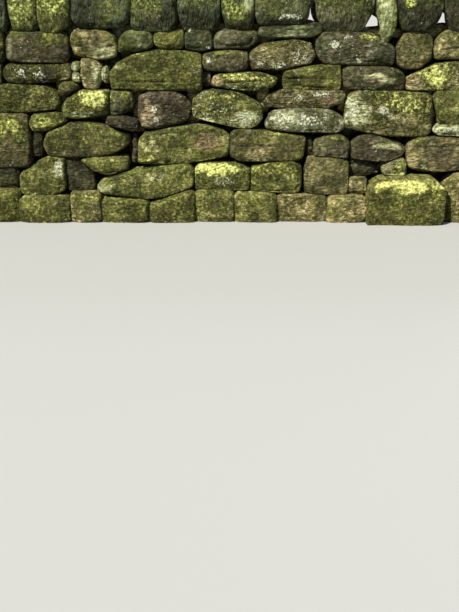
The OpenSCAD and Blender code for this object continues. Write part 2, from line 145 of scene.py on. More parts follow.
probe = np.random.default_rng(1).random((4000, 3)) * 3.0
print("noise spread:", np.round(np.percentile(layered_noise(probe, 0.1), (5, 50, 95)), 2))

# %% [markdown]
# ## The stones in a node
# Each CAD node holds the stones of one course, as separate convex blocks. A worn stone is shaped from
# its block's flat sides, so this step finds the blocks in a mesh and lists each one's sides as outward
# normals and distances. Blocks are told apart by spreading the lowest point number over each triangle
# until nothing changes, which is the array form of Separate by Loose Parts.

# %% Blocks
# Points nearer than this in metres are one, and so are sides whose directions have at least this cosine
# between them and whose distances differ by less than this. A smaller triangle has no sure direction.
SAME_PLACE, SAME_TILT, SAME_DISTANCE = 2e-5, 0.9998, 6e-4
TWICE_LEAST_AREA = 1e-7


def welded(node):
    """A node's points and triangles, with the points that lie at one place made one."""
    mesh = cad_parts[node].data
    points = np.empty(len(mesh.vertices) * 3)
    mesh.vertices.foreach_get("co", points)
    points = points.reshape(-1, 3)
    mesh.calc_loop_triangles()
    corners = np.empty(len(mesh.loop_triangles) * 3, int)
    mesh.loop_triangles.foreach_get("vertices", corners)
    cells = np.round(points / SAME_PLACE)
    first, same = np.unique(cells, axis=0, return_index=True, return_inverse=True)[1:]
    return points[first], same.reshape(-1)[corners].reshape(-1, 3)


def flat_sides(points, triangles):
    """Outward normals and distances of a convex block's sides. Triangles of one side count once, and a
    sliver whose plane would cut into the block doesn't count."""
    a, b, c = (points[triangles[:, k]] for k in range(3))
    normal = np.cross(b - a, c - a)
    length = np.linalg.norm(normal, axis=1)
    real = length > TWICE_LEAST_AREA
    normal = normal[real] / length[real, None]
    distance = (normal * a[real]).sum(axis=1)
    sound = (np.vstack([a, b, c]) @ normal.T - distance).max(axis=0) < SAME_DISTANCE
    normal, distance = normal[sound], distance[sound]
    alike = (normal @ normal.T > SAME_TILT) & (np.abs(distance[:, None] - distance) < SAME_DISTANCE)
    kept = np.unique(alike.argmax(axis=1))
    return normal[kept], distance[kept]


def blocks_of(node):
    """The blocks in a node from left to right, each with its corners, its side normals and distances."""
    points, triangles = welded(node)
    label = np.arange(len(points))
    while True:
        spread = label.copy()
        np.minimum.at(spread, triangles, label[triangles].min(axis=1, keepdims=True))
        if (spread == label).all():
            break
        label = spread
    blocks = []
    for number in np.unique(label):
        own = triangles[label[triangles[:, 0]] == number]
        corners = points[np.unique(own)]
        normals, distances = flat_sides(points, own)
        blocks.append({"low": corners.min(axis=0), "high": corners.max(axis=0), "corners": corners,
                       "normals": normals, "distances": distances})
    return sorted(blocks, key=lambda block: tuple((block["low"] + block["high"])[[0, 2, 1]]))


course = blocks_of("front_course_5")
print("stones in front_course_5:", len(course), "sides:", [len(block["normals"]) for block in course])

# %% [markdown]
# ## A net for a block
# Every stone is one surface of two parameters: a square grid over its face that folds back round its
# edges, ring by ring, into the wall. A UV sphere would crowd its points at two poles and leave the face
# coarse, while this net keeps the cells even where they show. A facing stone ends in a plain tail inside
# the wall. A stone whose far side shows too, such as a cope stone, gets a second grid there.

# %% Net
# How far behind the face each ring of a facing stone lies, in metres. Its last ring is the tail.
NEAR_RINGS = (0.006, 0.014, 0.025, 0.041, 0.066, 0.11)
nets = {}


def stone_net(across, up, rings, two_faced):
    """The net's points as (s, t, ring) and its faces. s and t run from -1 to 1 over the face, and ring
    counts the steps back from it. Faces are quads as rows of point numbers, and the tail's last ring.
    Every point lies behind one point of the face's grid, and takes its s and t."""
    key = (across, up, rings, two_faced)
    if key in nets:
        return nets[key]
    row, column = (a.ravel() for a in np.mgrid[0:up + 1, 0:across + 1])
    number = np.arange(len(row)).reshape(up + 1, across + 1)
    edge = np.concatenate([number[0, :-1], number[:-1, -1], number[-1, :0:-1], number[:0:-1, 0]])
    loop = len(edge)
    ring_numbers = np.vstack([edge, len(row) + np.arange(rings * loop).reshape(rings, loop)])
    behind = np.concatenate([number.ravel(), np.tile(edge, rings)])
    ring = np.concatenate([np.zeros(len(row), int), np.repeat(np.arange(1, rings + 1), loop)])
    face = np.stack([number[:-1, :-1], number[:-1, 1:], number[1:, 1:], number[1:, :-1]], axis=-1)
    turned = np.roll(ring_numbers, -1, axis=1)
    side = np.stack([ring_numbers[:-1], ring_numbers[1:], turned[1:], turned[:-1]], axis=-1)
    quads = [face.reshape(-1, 4), side.reshape(-1, 4)]
    tail = ring_numbers[-1][::-1]
    if two_faced:
        inner = number[1:-1, 1:-1].ravel()
        far = np.empty(number.shape, int)
        far.ravel()[edge] = ring_numbers[-1]
        far.ravel()[inner] = len(behind) + np.arange(len(inner))
        behind = np.concatenate([behind, inner])
        ring = np.concatenate([ring, np.full(len(inner), rings)])
        back = np.stack([far[:-1, :-1], far[1:, :-1], far[1:, 1:], far[:-1, 1:]], axis=-1)
        quads.append(back.reshape(-1, 4))
        tail = None
    s = column[behind] / across * 2.0 - 1.0
    t = row[behind] / up * 2.0 - 1.0
    nets[key] = (s, t, ring, np.vstack(quads), tail)
    return nets[key]


print("points and quads of a 30 by 15 net:", [len(stone_net(30, 15, 7, False)[k]) for k in (0, 3)])

# %% [markdown]
# ## A worn stone
# Frost and rain round off a block's edges, and splitting leaves its face in a few slightly tilted
# planes. Bevel and Smooth modifiers could do the rounding, but a formula gives it in one step: a soft
# maximum of the distances past all the sides is zero on the rounded surface. It leaves the middle of a
# side where it is and pulls in only the edges, by about the same amount on large and small stones.
# The blocks stand a few millimetres apart, so their sides first move out to close the joints.

# %% Split planes
# The planes that shave a face: their least number and one past their most, the share of the way to its
# edge where they begin, and their fall in metres
SHAVES, SHAVE_START, SHAVE_FALL = (3, 7), (0.1, 0.8), (0.003, 0.013)
# The bits knocked off the edges: how many, how much they face forward, how far they turn aside from
# that, and how deep they go in metres, up to a share of the stone
CHIPS, CHIP_FORWARD, CHIP_ASIDE = 9, (0.4, 1.2), 0.8
CHIP_DEPTH, CHIP_SHARE = (0.002, 0.012), 0.15


def split_planes(block, middle, dice):
    """Planes that shave a stone as a hammer does. Some start part of the way from the middle of the face
    to its edge and fall away by a few degrees. Others knock off bits of the edges and corners."""
    half = (block["high"] - block["low"]) / 2.0
    front = block["normals"][:, 1].argmin()
    face = block["distances"][front] - block["normals"][front] @ middle
    front = block["normals"][front]
    count = dice.integers(*SHAVES)
    around = dice.random(count) * 2.0 * np.pi
    along = np.stack([np.cos(around), np.zeros(count), np.sin(around)], axis=1)
    reach = 1.0 / np.maximum(np.abs(along[:, 0]) / half[0], np.abs(along[:, 2]) / half[2])
    start = dice.uniform(*SHAVE_START, count)
    tilt = dice.uniform(*SHAVE_FALL, count) / (reach * (1.0 - start))
    shaved = front + along * tilt[:, None]
    shaved /= np.linalg.norm(shaved, axis=1, keepdims=True)
    shaved_at = (shaved * (front * face + along * (reach * start)[:, None])).sum(axis=1)
    knocked = front * dice.uniform(*CHIP_FORWARD, (CHIPS, 1))
    knocked = knocked + dice.normal(0.0, CHIP_ASIDE, (CHIPS, 3)) * (1.0, 0.2, 1.0)
    knocked /= np.linalg.norm(knocked, axis=1, keepdims=True)
    furthest = ((block["corners"] - middle) @ knocked.T).max(axis=0)
    knocked_at = furthest - np.minimum(dice.uniform(*CHIP_DEPTH, CHIPS), CHIP_SHARE * furthest)
    return np.vstack([shaved, knocked]), np.concatenate([shaved_at, knocked_at])


sample = course[8]
planes = split_planes(sample, (sample["low"] + sample["high"]) / 2.0, np.random.default_rng(3))[0]
print("planes that shave one stone:", len(planes))

# %% Worn stone
NEWTON_STEPS = 6
# How far the sides move out, and how far the slanted edges round a face do
SPREAD, EDGE_SPREAD = 0.0050, 0.0105
# Sides and slanted edges have less than this of their normal across the wall
SIDE_TILT, EDGE_TILT = 0.3, 0.93
# The most of a facing stone's thickness that its near rings take up
NEAR_SHARE = 0.9
# How much wider a stone gets behind its face, and between which depths
JOINT_FLARE, FLARE_DEPTHS = 0.0050, (0.012, 0.045)
# How far the edges of a face fall back, and how fast that fades behind it
PILLOW, PILLOW_REACH = (0.001, 0.010), 0.05


def worn_stone(block, cell, radius, dice, two_faced, side_cell):
    """Points, outward normals and depth behind the face of a worn stone, with the faces of its net.
    Each point lies on a ray from the stone's middle, where radius * log(sum(exp(past / radius))) = 0 and
    past is how far the point is beyond each side. Newton's steps find it, from the block's own surface."""
    middle = (block["low"] + block["high"]) / 2.0
    half = (block["high"] - block["low"]) / 2.0
    across = max(3, round(2.0 * half[0] / cell))
    up = max(3, round(2.0 * half[2] / cell))
    normals, distances = block["normals"], block["distances"] - block["normals"] @ middle
    tilt = np.abs(normals[:, 1])
    distances = distances + np.where(tilt < SIDE_TILT, SPREAD, np.where(tilt < EDGE_TILT, EDGE_SPREAD, 0.0))
    rings = round(2.0 * half[1] / side_cell) if two_faced else len(NEAR_RINGS) + 1
    s, t, ring, quads, tail = stone_net(across, up, rings, two_faced)
    x, z = s * half[0], t * half[2]
    y_front, y_back = ((distances[k] - normals[k, 0] * x - normals[k, 2] * z) / normals[k, 1]
                       for k in (normals[:, 1].argmin(), normals[:, 1].argmax()))
    thick = y_back - y_front
    if two_faced:
        depth = np.linspace(0.0, 1.0, rings + 1)[ring] * thick
    else:
        depth = np.array((0.0,) + NEAR_RINGS + (1.0,))[ring]
        depth = np.where(ring == rings, thick, np.minimum(depth, NEAR_SHARE * thick))
    rays = np.stack([x, y_front + depth, z], axis=1)
    more, reach = split_planes(block, middle, dice)
    normals = np.vstack([normals, more])
    distances = np.concatenate([distances, reach])
    climb = rays @ normals.T
    start = 1.0 / (climb / distances).max(axis=1)
    size = start.copy()
    for step in range(NEWTON_STEPS):
        past = (size[:, None] * climb - distances) / radius
        most = past.max(axis=1, keepdims=True)
        pull = np.exp(past - most)
        total = pull.sum(axis=1)
        size -= radius * (most[:, 0] + np.log(total)) * total / (pull * climb).sum(axis=1)
    outward = pull @ normals
    outward /= np.linalg.norm(outward, axis=1, keepdims=True)
    points = rays * size[:, None] + middle
    bulge = 1.0 - (1.0 - s ** 4) * (1.0 - t ** 4)
    inward = np.where(two_faced & (depth > thick / 2.0), -1.0, 1.0)
    if two_faced:
        depth = np.minimum(depth, thick - depth)
    points[:, 1] += inward * dice.uniform(*PILLOW) * bulge * np.exp(-depth / PILLOW_REACH)
    points += JOINT_FLARE * outward * (1.0, 0.0, 1.0) * ramp(depth, *FLARE_DEPTHS)[:, None]
    rim = np.clip((start - size) * np.linalg.norm(rays, axis=1) / radius, 0.0, 1.0)
    return points, outward, depth, rim, quads, tail


trial = worn_stone(sample, 0.0075, 0.008, np.random.default_rng(3), False, 0.01)
print("a large stone has", len(trial[0]), "points")

# %% [markdown]
# ## What each stone looks like
# The wall is one kind of gritstone, but no two stones are alike: iron stains some red-brown, others are
# tan where they split lately, and moss and lichen settle where the light and damp suit them. A table
# gives each stone its tone and how much grows on it, in the order in which the blocks lie. It was
# judged from the wall stone by stone, and corrected against the photograph.

# %% Finishes
# Two colours for each tone. A stone drifts from one to the other over its surface.
TONES = {
    "olive": ((0.140, 0.136, 0.037), (0.070, 0.066, 0.023)),
    "light": ((0.210, 0.200, 0.063), (0.115, 0.110, 0.035)),
    "brown": ((0.125, 0.104, 0.044), (0.066, 0.055, 0.026)),
    "purple": ((0.052, 0.043, 0.024), (0.098, 0.087, 0.045)),
    "russet": ((0.135, 0.090, 0.048), (0.095, 0.070, 0.033)),
    "tan": ((0.250, 0.208, 0.090), (0.115, 0.098, 0.040)),
    "pink": ((0.260, 0.195, 0.110), (0.110, 0.088, 0.046)),
    "grey": ((0.150, 0.143, 0.079), (0.080, 0.076, 0.040)),
    "pale": ((0.340, 0.340, 0.176), (0.160, 0.158, 0.070)),
    # The next tone is a blue grey that paints the sky-lit shade on cope stones and a stone under them.
    "slate": ((0.035, 0.040, 0.023), (0.066, 0.070, 0.031)),
    "drab": ((0.106, 0.094, 0.054), (0.056, 0.058, 0.027)),
    # The next tone is nearly black and paints shade, on stones that lie in shadow or deep in holes and in
    # the dark patches.
    "dark": ((0.022, 0.020, 0.010), (0.046, 0.042, 0.019)),
    "sage": ((0.126, 0.136, 0.068), (0.062, 0.068, 0.034)),
    "bark": ((0.038, 0.030, 0.018), (0.074, 0.060, 0.033)),
}
# The usual tone, moss and lichen, how far a stone lies back in metres, and how coarse its surface is
USUAL = ("olive", 0.5, 0.1, 0.0, 1.0)
# The same for each drawn stone, from left to right. What a row leaves off its end is as usual.
FINISHES = {
    "footing": [("light", 0.7), ("light", 0.7, 0.0), ("tan", 0.7), ("light", 0.7), ("olive", 0.6),
                ("light", 0.7, 0.2), ("light", 0.6), ("tan", 0.5), ("tan", 0.5, 0.0), ("light", 0.9, 0.0),
                ("tan", 0.5)],
    "course_1": [("dark", 0.5, 0.0), ("light", 0.65, 0.2), ("dark", 0.1, 0.0, 0.025),
                 ("light", 0.65, 0.15), ("light", 0.8, 0.2), ("light", 0.6, 0.0), ("brown", 0.4),
                 ("tan", 0.4, 0.0)],
    "course_2": [("dark", 0.4, 0.0), ("light", 0.6, 0.0), ("bark", 0.3, 0.0, 0.02), ("light", 0.55, 0.2),
                 ("brown", 0.58, 0.05), ("dark", 0.0, 0.0, 0.03), ("purple", 0.34),
                 ("dark", 0.0, 0.0, 0.03), ("bark", 0.3, 0.15), ("pale", 0.5, 0.0), ("brown", 0.35)],
    "course_3": [("brown",), ("light", 0.75, 0.0), ("brown", 0.55, 0.05), ("bark", 0.32),
                 ("grey", 0.4, 0.6), ("pale", 0.45, 0.5)],
    "course_4": [("light", 0.65, 0.25, 0.0, 1.2), ("drab", 0.5, 0.05), ("olive", 0.5, 0.6, 0.0, 1.5),
                 ("tan", 0.7, 0.3, 0.0, 1.4)],
    "course_5": [("olive", 0.6), ("dark", 0.6, 0.3, 0.0, 1.15), ("brown",), ("pale", 0.3, 0.4),
                 ("pale", 0.3, 0.4), ("tan", 0.15, 0.0), ("pale", 0.1, 0.5), ("olive", 0.66, 0.05),
                 ("bark", 0.2, 0.0), ("light", 0.7, 0.3, 0.0, 1.3), ("olive",), ("purple", 0.45, 0.25),
                 ("tan", 0.6, 0.05, 0.0, 1.4)],
    "course_6": [("dark",), ("purple", 0.4, 0.1, 0.0, 0.8), ("tan", 0.35, 0.05, 0.0, 0.85),
                 ("purple", 0.42, 0.15, 0.0, 0.7), ("brown", 0.5, 0.4, 0.0, 1.3),
                 ("drab", 0.4, 0.2, 0.0, 1.2), ("brown", 0.42, 0.05), ("tan", 0.55, 0.05)],
    "course_7": [("sage", 0.55, 0.05, 0.0, 0.6), ("light", 0.6, 0.05, 0.0, 0.6),
                 ("slate", 0.4, 0.2, 0.0, 0.8), ("drab", 0.45, 0.1, 0.0, 0.6),
                 ("sage", 0.45, 0.1, 0.0, 0.7)],
    "through": [("olive", 0.55, 0.1, 0.0, 1.4), ("bark", 0.12, 0.1, 0.0, 1.3),
                ("brown", 0.35, 0.3, 0.0, 1.4), ("light", 0.6, 0.05)],
    "cope": [("olive", 0.6, 0.2), ("brown", 0.5, 0.2), ("slate", 0.1, 0.0), ("light", 0.75, 0.15, 0.0, 1.2),
             ("olive", 0.6, 0.1, 0.0, 1.3), ("slate", 0.3, 0.05), ("slate", 0.45, 0.1, 0.0, 1.4),
             ("slate", 0.2, 0.05, 0.0, 1.4), ("slate", 0.6, 0.2), ("drab", 0.45, 0.25),
             ("drab", 0.52, 0.15, 0.0, 1.3), ("light", 0.6, 0.4, 0.0, 1.2), ("dark", 0.4, 0.1, 0.0, 1.2),
             ("bark", 0.55, 0.05), ("brown", 0.55, 0.2), ("olive", 0.5, 0.3)],
}
# Finishes for the stones that weren't drawn, in turn
OTHER_FINISHES = (("olive", 0.5), ("brown", 0.4, 0.15), ("grey", 0.4, 0.3), ("purple", 0.35))
print("tones:", len(TONES), "finishes:", sum(len(rows) for rows in FINISHES.values()))

# %% Patches and cracks
# Patches of colour on the front: their tone, middle along and up the wall, half width and half height in
# cm, and strength. Some are stains, the dark ones are painted shade, and the light ones on the cope stones
# are painted sunlight.
STAINS_AND_PAINTED_LIGHT = [
    ("pale", -118, 93, 1.5, 5, 0.25), ("pale", -67, 90, 6, 4, 0.7), ("dark", -73, 97, 4, 7, 0.6),
    ("bark", 6, 95, 6, 3, 0.5), ("pale", 34, 98.6, 10, 1, 0.6), ("tan", 21, 88, 9, 4, 0.5),
    ("bark", 62, 91, 14, 7, 0.45), ("dark", 84, 90, 6, 7, 0.8), ("pale", 97, 93, 4, 4, 0.15),
    ("tan", -90, 79, 4, 4, 0.6), ("pale", -71.4, 78, 2.8, 7, 0.8), ("dark", -76, 80, 2, 6, 0.5),
    ("pale", -60.5, 82.6, 2, 3, 0.4), ("pink", -6.4, 75.6, 4, 3, 0.9), ("dark", 70, 74, 7, 3, 0.7),
    ("pale", 79, 78, 6, 1.6, 0.8), ("pale", 86, 75.8, 5, 1.4, 0.7), ("pink", 101.4, 75, 4, 3, 0.8),
    ("pink", -44.4, 58.4, 3, 6, 0.8), ("dark", -30, 60, 9, 9, 0.6), ("pale", 8, 55.4, 6, 4.6, 0.8),
    ("russet", 55, 64.8, 6, 2.4, 0.7), ("pale", 31, 56.4, 9, 4, 0.45), ("pale", 69, 60, 8, 9, 0.85),
    ("dark", 86, 50.4, 19, 2.6, 0.6), ("dark", -122, 36, 11, 6, 0.7), ("russet", -12, 43.4, 8, 4.2, 0.8),
    ("pale", 87, 41.4, 8, 1.6, 0.7), ("tan", 102.4, 33, 3, 6, 0.7), ("purple", 116, 38, 10, 3.6, 0.7),
    ("russet", 118, 33, 5, 2, 0.5), ("pink", 88, 29.4, 3.4, 2.6, 0.7), ("pale", -70, 18.4, 4, 3, 0.7),
    # Cope patches follow: the dark ones paint shade on the cope stones, the light ones sunlight on their
    # upper left.
    ("dark", -129, 113, 8, 12, 0.9), ("dark", -94, 104, 8, 5, 0.5), ("dark", -38, 105, 12, 4.5, 0.7),
    ("dark", -78, 112, 7, 9, 0.8), ("light", -61, 113, 5, 7, 0.3), ("light", -45, 115, 7, 6, 0.6),
    ("dark", -31, 110, 4, 9, 0.5), ("dark", -16, 106, 13, 6, 0.9), ("light", -21, 117, 7, 4, 0.35),
    ("pale", 8.6, 114, 3, 4, 0.9), ("dark", 4, 104, 9, 3, 0.9), ("dark", 28, 104.6, 14, 2.6, 1.0),
    ("dark", 61, 104, 15, 6, 0.8), ("olive", 24, 115, 9, 6, 0.3), ("olive", 58, 115, 11, 7, 0.4),
    ("pale", 82, 110, 4, 12, 0.6), ("dark", 103, 108, 9, 7, 0.5),
]
# Patches of dark moss, fresh moss and lichen on the front, with the same numbers
GROWTHS = {
    "moss": [(-96, 97, 10, 4, 0.6), (-81, 95, 5, 4, 0.6), (-56, 95, 6, 5, 0.5), (92, 78.4, 4, 3, 0.5),
             (80, 66, 9, 3, 0.7), (116, 62, 4, 7, 0.5), (-124, 51, 12, 6, 0.6), (-96, 42, 6, 6, 0.6),
             (-63, 46.4, 7, 4, 0.6), (-26, 50, 12, 2.4, 0.7), (-70, 116, 9, 6, 0.5), (-44, 118, 8, 6, 0.5),
             (-17, 117, 9, 5, 0.5), (24, 117, 9, 4, 0.4), (56, 117, 11, 7, 0.5)],
    "fresh": [(-32, 97.6, 5, 2.6, 0.35), (75, 98.2, 7, 3, 0.45), (-2, 90, 7, 1.2, 0.5),
              (9, 77.2, 13, 2, 0.7), (45, 73.6, 12, 1.6, 0.2), (43, 78.6, 11, 1.4, 0.15),
              (111, 78.4, 7, 7, 1.0), (-74, 66.6, 8.5, 4.2, 1.0), (-3, 67.4, 9, 2.2, 0.6),
              (98, 64, 11, 5, 0.6), (-124, 52, 10, 5, 0.6), (-101, 54, 7, 3, 0.7), (-45, 34.4, 6, 2.2, 0.6),
              (60, 45.4, 6, 1.4, 0.6), (95, 30, 3.4, 4, 0.6), (97, 22, 20, 4.5, 1.0), (-8, 29, 12, 3.6, 1.0),
              # The fresh moss near -60 and -40 cm on the cope stones also paints sunlight on their upper
              # left.
              (20, 29, 15, 3, 0.5), (-110, 113, 6, 9, 0.6), (-94, 117, 7, 9, 0.7), (-60, 112, 5, 7, 0.45),
              (-40, 113, 7, 4, 0.3), (2.6, 111, 6, 6, 0.6), (94, 118, 4, 6, 0.8)],
    "lichen": [(-11, 92.4, 1.8, 1, 1.0), (-21, 101, 2, 1, 0.8), (38, 87, 7, 4, 0.65), (17, 84, 3, 2, 0.9),
               (27, 83.4, 4, 1.4, 0.9), (57, 94, 3, 2.4, 0.9), (63.5, 97.4, 3, 1.6, 0.9),
               (69.6, 86, 1.8, 1.5, 0.9), (-113, 79.6, 3, 2.4, 0.9), (-102.5, 78.6, 4, 3, 0.8),
               (-18.4, 81, 3.4, 3.2, 0.5), (-11.4, 86.4, 2.2, 2, 0.8), (2, 72, 7, 1.4, 0.8),
               (14, 73.4, 7, 1.6, 0.6), (-80, 57.8, 8, 1.8, 0.9), (-40.6, 60.6, 1.9, 2.6, 1.3),
               (-40.2, 55.2, 1.4, 1.8, 1.2), (8, 55.4, 7, 5, 0.75), (-13, 54.4, 5, 1.4, 1.2),
               (38, 66.4, 5, 2.2, 0.7), (49, 68.6, 4, 1.4, 1.0), (30, 56, 9, 3.4, 0.8),
               (44, 55, 10, 3.8, 0.8), (67.6, 62, 4, 7, 0.8), (84, 60.4, 2.6, 2.2, 1.0),
               (76, 54, 3, 1.4, 0.9), (89, 57, 2.2, 2, 0.8), (122, 49.8, 8, 2, 0.8), (-44, 42, 6, 4, 0.5),
               (108, 29.8, 1.8, 1.2, 1.1), (-4, 22.6, 7, 3.4, 0.65), (-42, 24.4, 6, 2.6, 0.6),
               (-95, 29.4, 3.4, 5, 1.0), (33, 108, 7, 1.6, 0.8)],
}
# Open bedding cracks on the front: left end, right end and height in cm, and how far the right end is
# above the left one
CRACKS = [(-84.6, -78, 93.4, -0.6), (-66, -61, 93.2, 0.3), (112, 124, 91.6, 1.0), (-4, 22, 74.4, 1.6),
          (30, 56, 76.4, 0.6), (68, 84, 63.4, -0.5), (4, 30, 41.2, 0.4), (104, 128, 40.4, 1.4),
          (30, 41, 101.4, 0.3), (-60, -20, 74.8, 0.5)]
print("patches of colour:", len(STAINS_AND_PAINTED_LIGHT), "of growth:", sum(len(rows) for rows in GROWTHS.values()),
      "cracks:", len(CRACKS))

# %% [markdown]
# ## Weathering
# One function takes the smooth worn stones and gives back their final points and colours. It pushes
# points in, and never out, by a slow swell, a finer roughness, thin bedding ridges and the cracks, and
# moss fills some of that again. The swell also helps to say where moss grows, so colour and shape
# agree. Some of the colour is painted light and shade: lighter rounded edges, darker cracks, patches of
# shade and sunlight, and shade deeper in the joints. The colours go into two mesh attributes that the
# materials read.

# %% Blend and patch
CM = 0.01
# How far a patch reaches in its own half widths, how much noise moves that, and how soft its edge is
PATCH_REACH, PATCH_RAGGED, PATCH_EDGE = 1.45, 1.6, 0.9


def blend(first, second, weight):
    """first where weight is 0, second where it is 1, row by row."""
    return first + (second - first) * np.clip(weight, 0.0, 1.0)[:, None]


def patch(points, x, z, wide, tall, strength, ragged):
    """How strongly a patch covers each point: its reach minus the distance from its middle in an
    ellipse's own units, made ragged by noise and cut off softly."""
    away = np.hypot((points[:, 0] - x * CM) / (wide * CM), (points[:, 2] - z * CM) / (tall * CM))
    return ramp(PATCH_REACH - away + (ragged - 0.5) * PATCH_RAGGED, 0.0, PATCH_EDGE) * strength


cover = patch(np.zeros((1, 3)), 0.0, 1.0, 4.0, 2.0, 0.5, np.array([0.5]))
print("a patch of strength 0.5 covers a point inside it by", np.round(cover[0], 2))

# %% Weathering
# Depths in metres of the swell, the roughness, the ridges, the wear of an edge and a crack, the crack's
# width, and the thickness of moss
SWELL, ROUGH, BEDDED, EDGE_WEAR, CRACK_DEPTH = 0.010, 0.0036, 0.0034, 0.004, 0.011
CRACK_WIDTH, MOSS_THICKNESS = 0.0042, 0.0026
# How far a crack wanders, and the share of its length at each end over which it fades
CRACK_WANDER, CRACK_END = 0.006, 0.12
# Size in metres and number of layers of each kind of noise on a stone
NOISES = {"swell": (0.12, 3), "rough": (0.032, 3), "beds": ((0.17, 0.17, 0.013), 2), "mottle": (0.06, 3),
          "fine": (0.014, 2), "ragged": (0.03, 3), "drift": (0.09, 2)}
# How far apart the noise of two stones is taken, for each step of their seeds
SEED_STEP = np.array([3.1, 5.7, 1.9])
# Heights between which the top of the cope begins, distances along the wall where its ends do, and the
# shares of a normal between which a surface counts as facing up or along
COPE_TOP, WALL_END, FACING = (1.12, 1.18), (1.68, 1.75), (0.4, 0.8)
# Depths behind the face between which patches end, moss thins, painted shade and dirt in the joints begin,
# and the relief ends
PATCHES_END, MOSS_THINS, SHADE_AND_SOIL_BEGIN, RELIEF_ENDS = (0.02, 0.09), (0.012, 0.06), (0.008, 0.05), (0.11, 0.16)
# How much a full patch of each kind, or a crack, adds to the moss
MOSS_CHANGE = {"moss": 0.55, "fresh": 0.7, "lichen": -0.5, "stain_and_painted_light": -0.45, "crack": -0.6}


def weathered(stones, with_marks):
    """Final points, stone colour and moss, lichen and shade of a list of worn stones. The colour's fourth
    number is how coarse the stone is. The last result holds moss, lichen, painted shade in the joints and
    how fresh the moss is."""
    points, outward, depth, rim, tone_a, tone_b, moss, lichen, seed, bedded, coarse = (
        np.concatenate([stone[key] for stone in stones])
        for key in ("points", "outward", "depth", "rim", "tone_a", "tone_b", "moss", "lichen", "seed",
                    "bedded", "coarse"))
    place = points + seed[:, None] * SEED_STEP
    swell, rough, beds, mottle, fine, ragged, drift = (layered_noise(place, *how) for how in NOISES.values())
    faces_out = 1.0 - ramp(depth, *PATCHES_END)
    pressed = SWELL * ramp(swell, 0.3, 0.85) + ROUGH * ramp(rough, 0.3, 0.8) + BEDDED * bedded * beds
    pressed += EDGE_WEAR * rim * ramp(rough, 0.45, 0.8)
    up = outward[:, 2]
    top = ramp(up, *FACING) * ramp(points[:, 2], *COPE_TOP)
    end = ramp(np.abs(outward[:, 0]), *FACING) * ramp(np.abs(points[:, 0]), *WALL_END)
    open_air = np.maximum(top, end)
    pressed *= 0.2 + 0.8 * np.maximum(np.abs(outward[:, 1]), 0.6 * open_air)
    colour = blend(tone_a, tone_b, ramp(mottle, 0.38, 0.62))
    colour *= (0.65 + 0.7 * ramp(fine, 0.3, 0.7))[:, None]
    colour *= (1.0 + 0.28 * bedded * (beds - 0.5))[:, None]
    # Rounded edges are lightened: partly bare worn stone, partly a painted highlight where the edges catch
    # the light.
    colour = blend(colour, colour * 1.3 + 0.012, 0.6 * rim * ramp(fine, 0.35, 0.7))
    moss = moss + 0.22 * up + 0.75 * (mottle - 0.5) + 0.5 * (swell - 0.5)
    fresh = 0.45 * ramp(drift + 0.2 * up, 0.35, 0.9)
    lichen = lichen * ramp(ragged, 0.3, 0.6)
    if with_marks:
        # Stains, and patches of painted shade and of painted sunlight
        for tone, *where in STAINS_AND_PAINTED_LIGHT:
            amount = patch(points, *where, ragged) * faces_out
            colour = blend(colour, np.array(TONES[tone][0]) * (0.8 + 0.4 * fine)[:, None], amount)
            moss = moss + MOSS_CHANGE["stain_and_painted_light"] * amount
        for kind, patches in GROWTHS.items():
            for where in patches:
                amount = patch(points, *where, ragged) * faces_out
                moss = moss + MOSS_CHANGE[kind] * amount
                if kind == "lichen":
                    lichen = np.maximum(lichen, amount)
                elif kind == "fresh":
                    fresh = np.maximum(fresh, amount)
        for left, right, z, rise in CRACKS:
            along = (points[:, 0] / CM - left) / (right - left)
            line = (z + rise * along) * CM + CRACK_WANDER * (swell - 0.5)
            inside = ramp(along, 0.0, CRACK_END) * (1.0 - ramp(along, 1.0 - CRACK_END, 1.0)) * faces_out
            groove = inside * np.exp(-((points[:, 2] - line) / CRACK_WIDTH) ** 2)
            pressed += CRACK_DEPTH * groove
            # The crack's groove is real, and darkening its colour paints the shade inside it.
            colour = colour * (1.0 - 0.75 * groove)[:, None]
            moss = moss + MOSS_CHANGE["crack"] * groove
    moss = np.clip(moss, 0.0, 1.0) * (1.0 - 0.75 * ramp(depth, *MOSS_THINS) * (1.0 - open_air))
    lichen = np.clip(lichen, 0.0, 1.0) * faces_out
    cushion = ramp(moss, 0.35, 0.7) * (0.4 + 0.9 * fine)
    pressed = np.maximum(pressed - MOSS_THICKNESS * cushion, 0.0)
    pressed *= 1.0 - ramp(depth, *RELIEF_ENDS) * (1.0 - open_air)
    # The third number is painted shade deeper in the joints, with some dirt.
    growth_and_shade = np.stack([moss, lichen, ramp(depth, *SHADE_AND_SOIL_BEGIN), fresh], axis=1)
    colour = np.column_stack([np.clip(colour, 0.0, 1.0), coarse])
    return points - outward * pressed[:, None], colour, growth_and_shade


print("kinds of noise:", list(NOISES))

# %% [markdown]
# ## From arrays to a mesh
# All the stones of a course become one joined mesh, so the course is still one piece that stands for
# one CAD node. foreach_set copies whole arrays into it, which is far quicker than adding vertices.
# A stone of the back is turned to the front before it is worn, and turned back after it.

# %% Joined mesh
pieces = {}


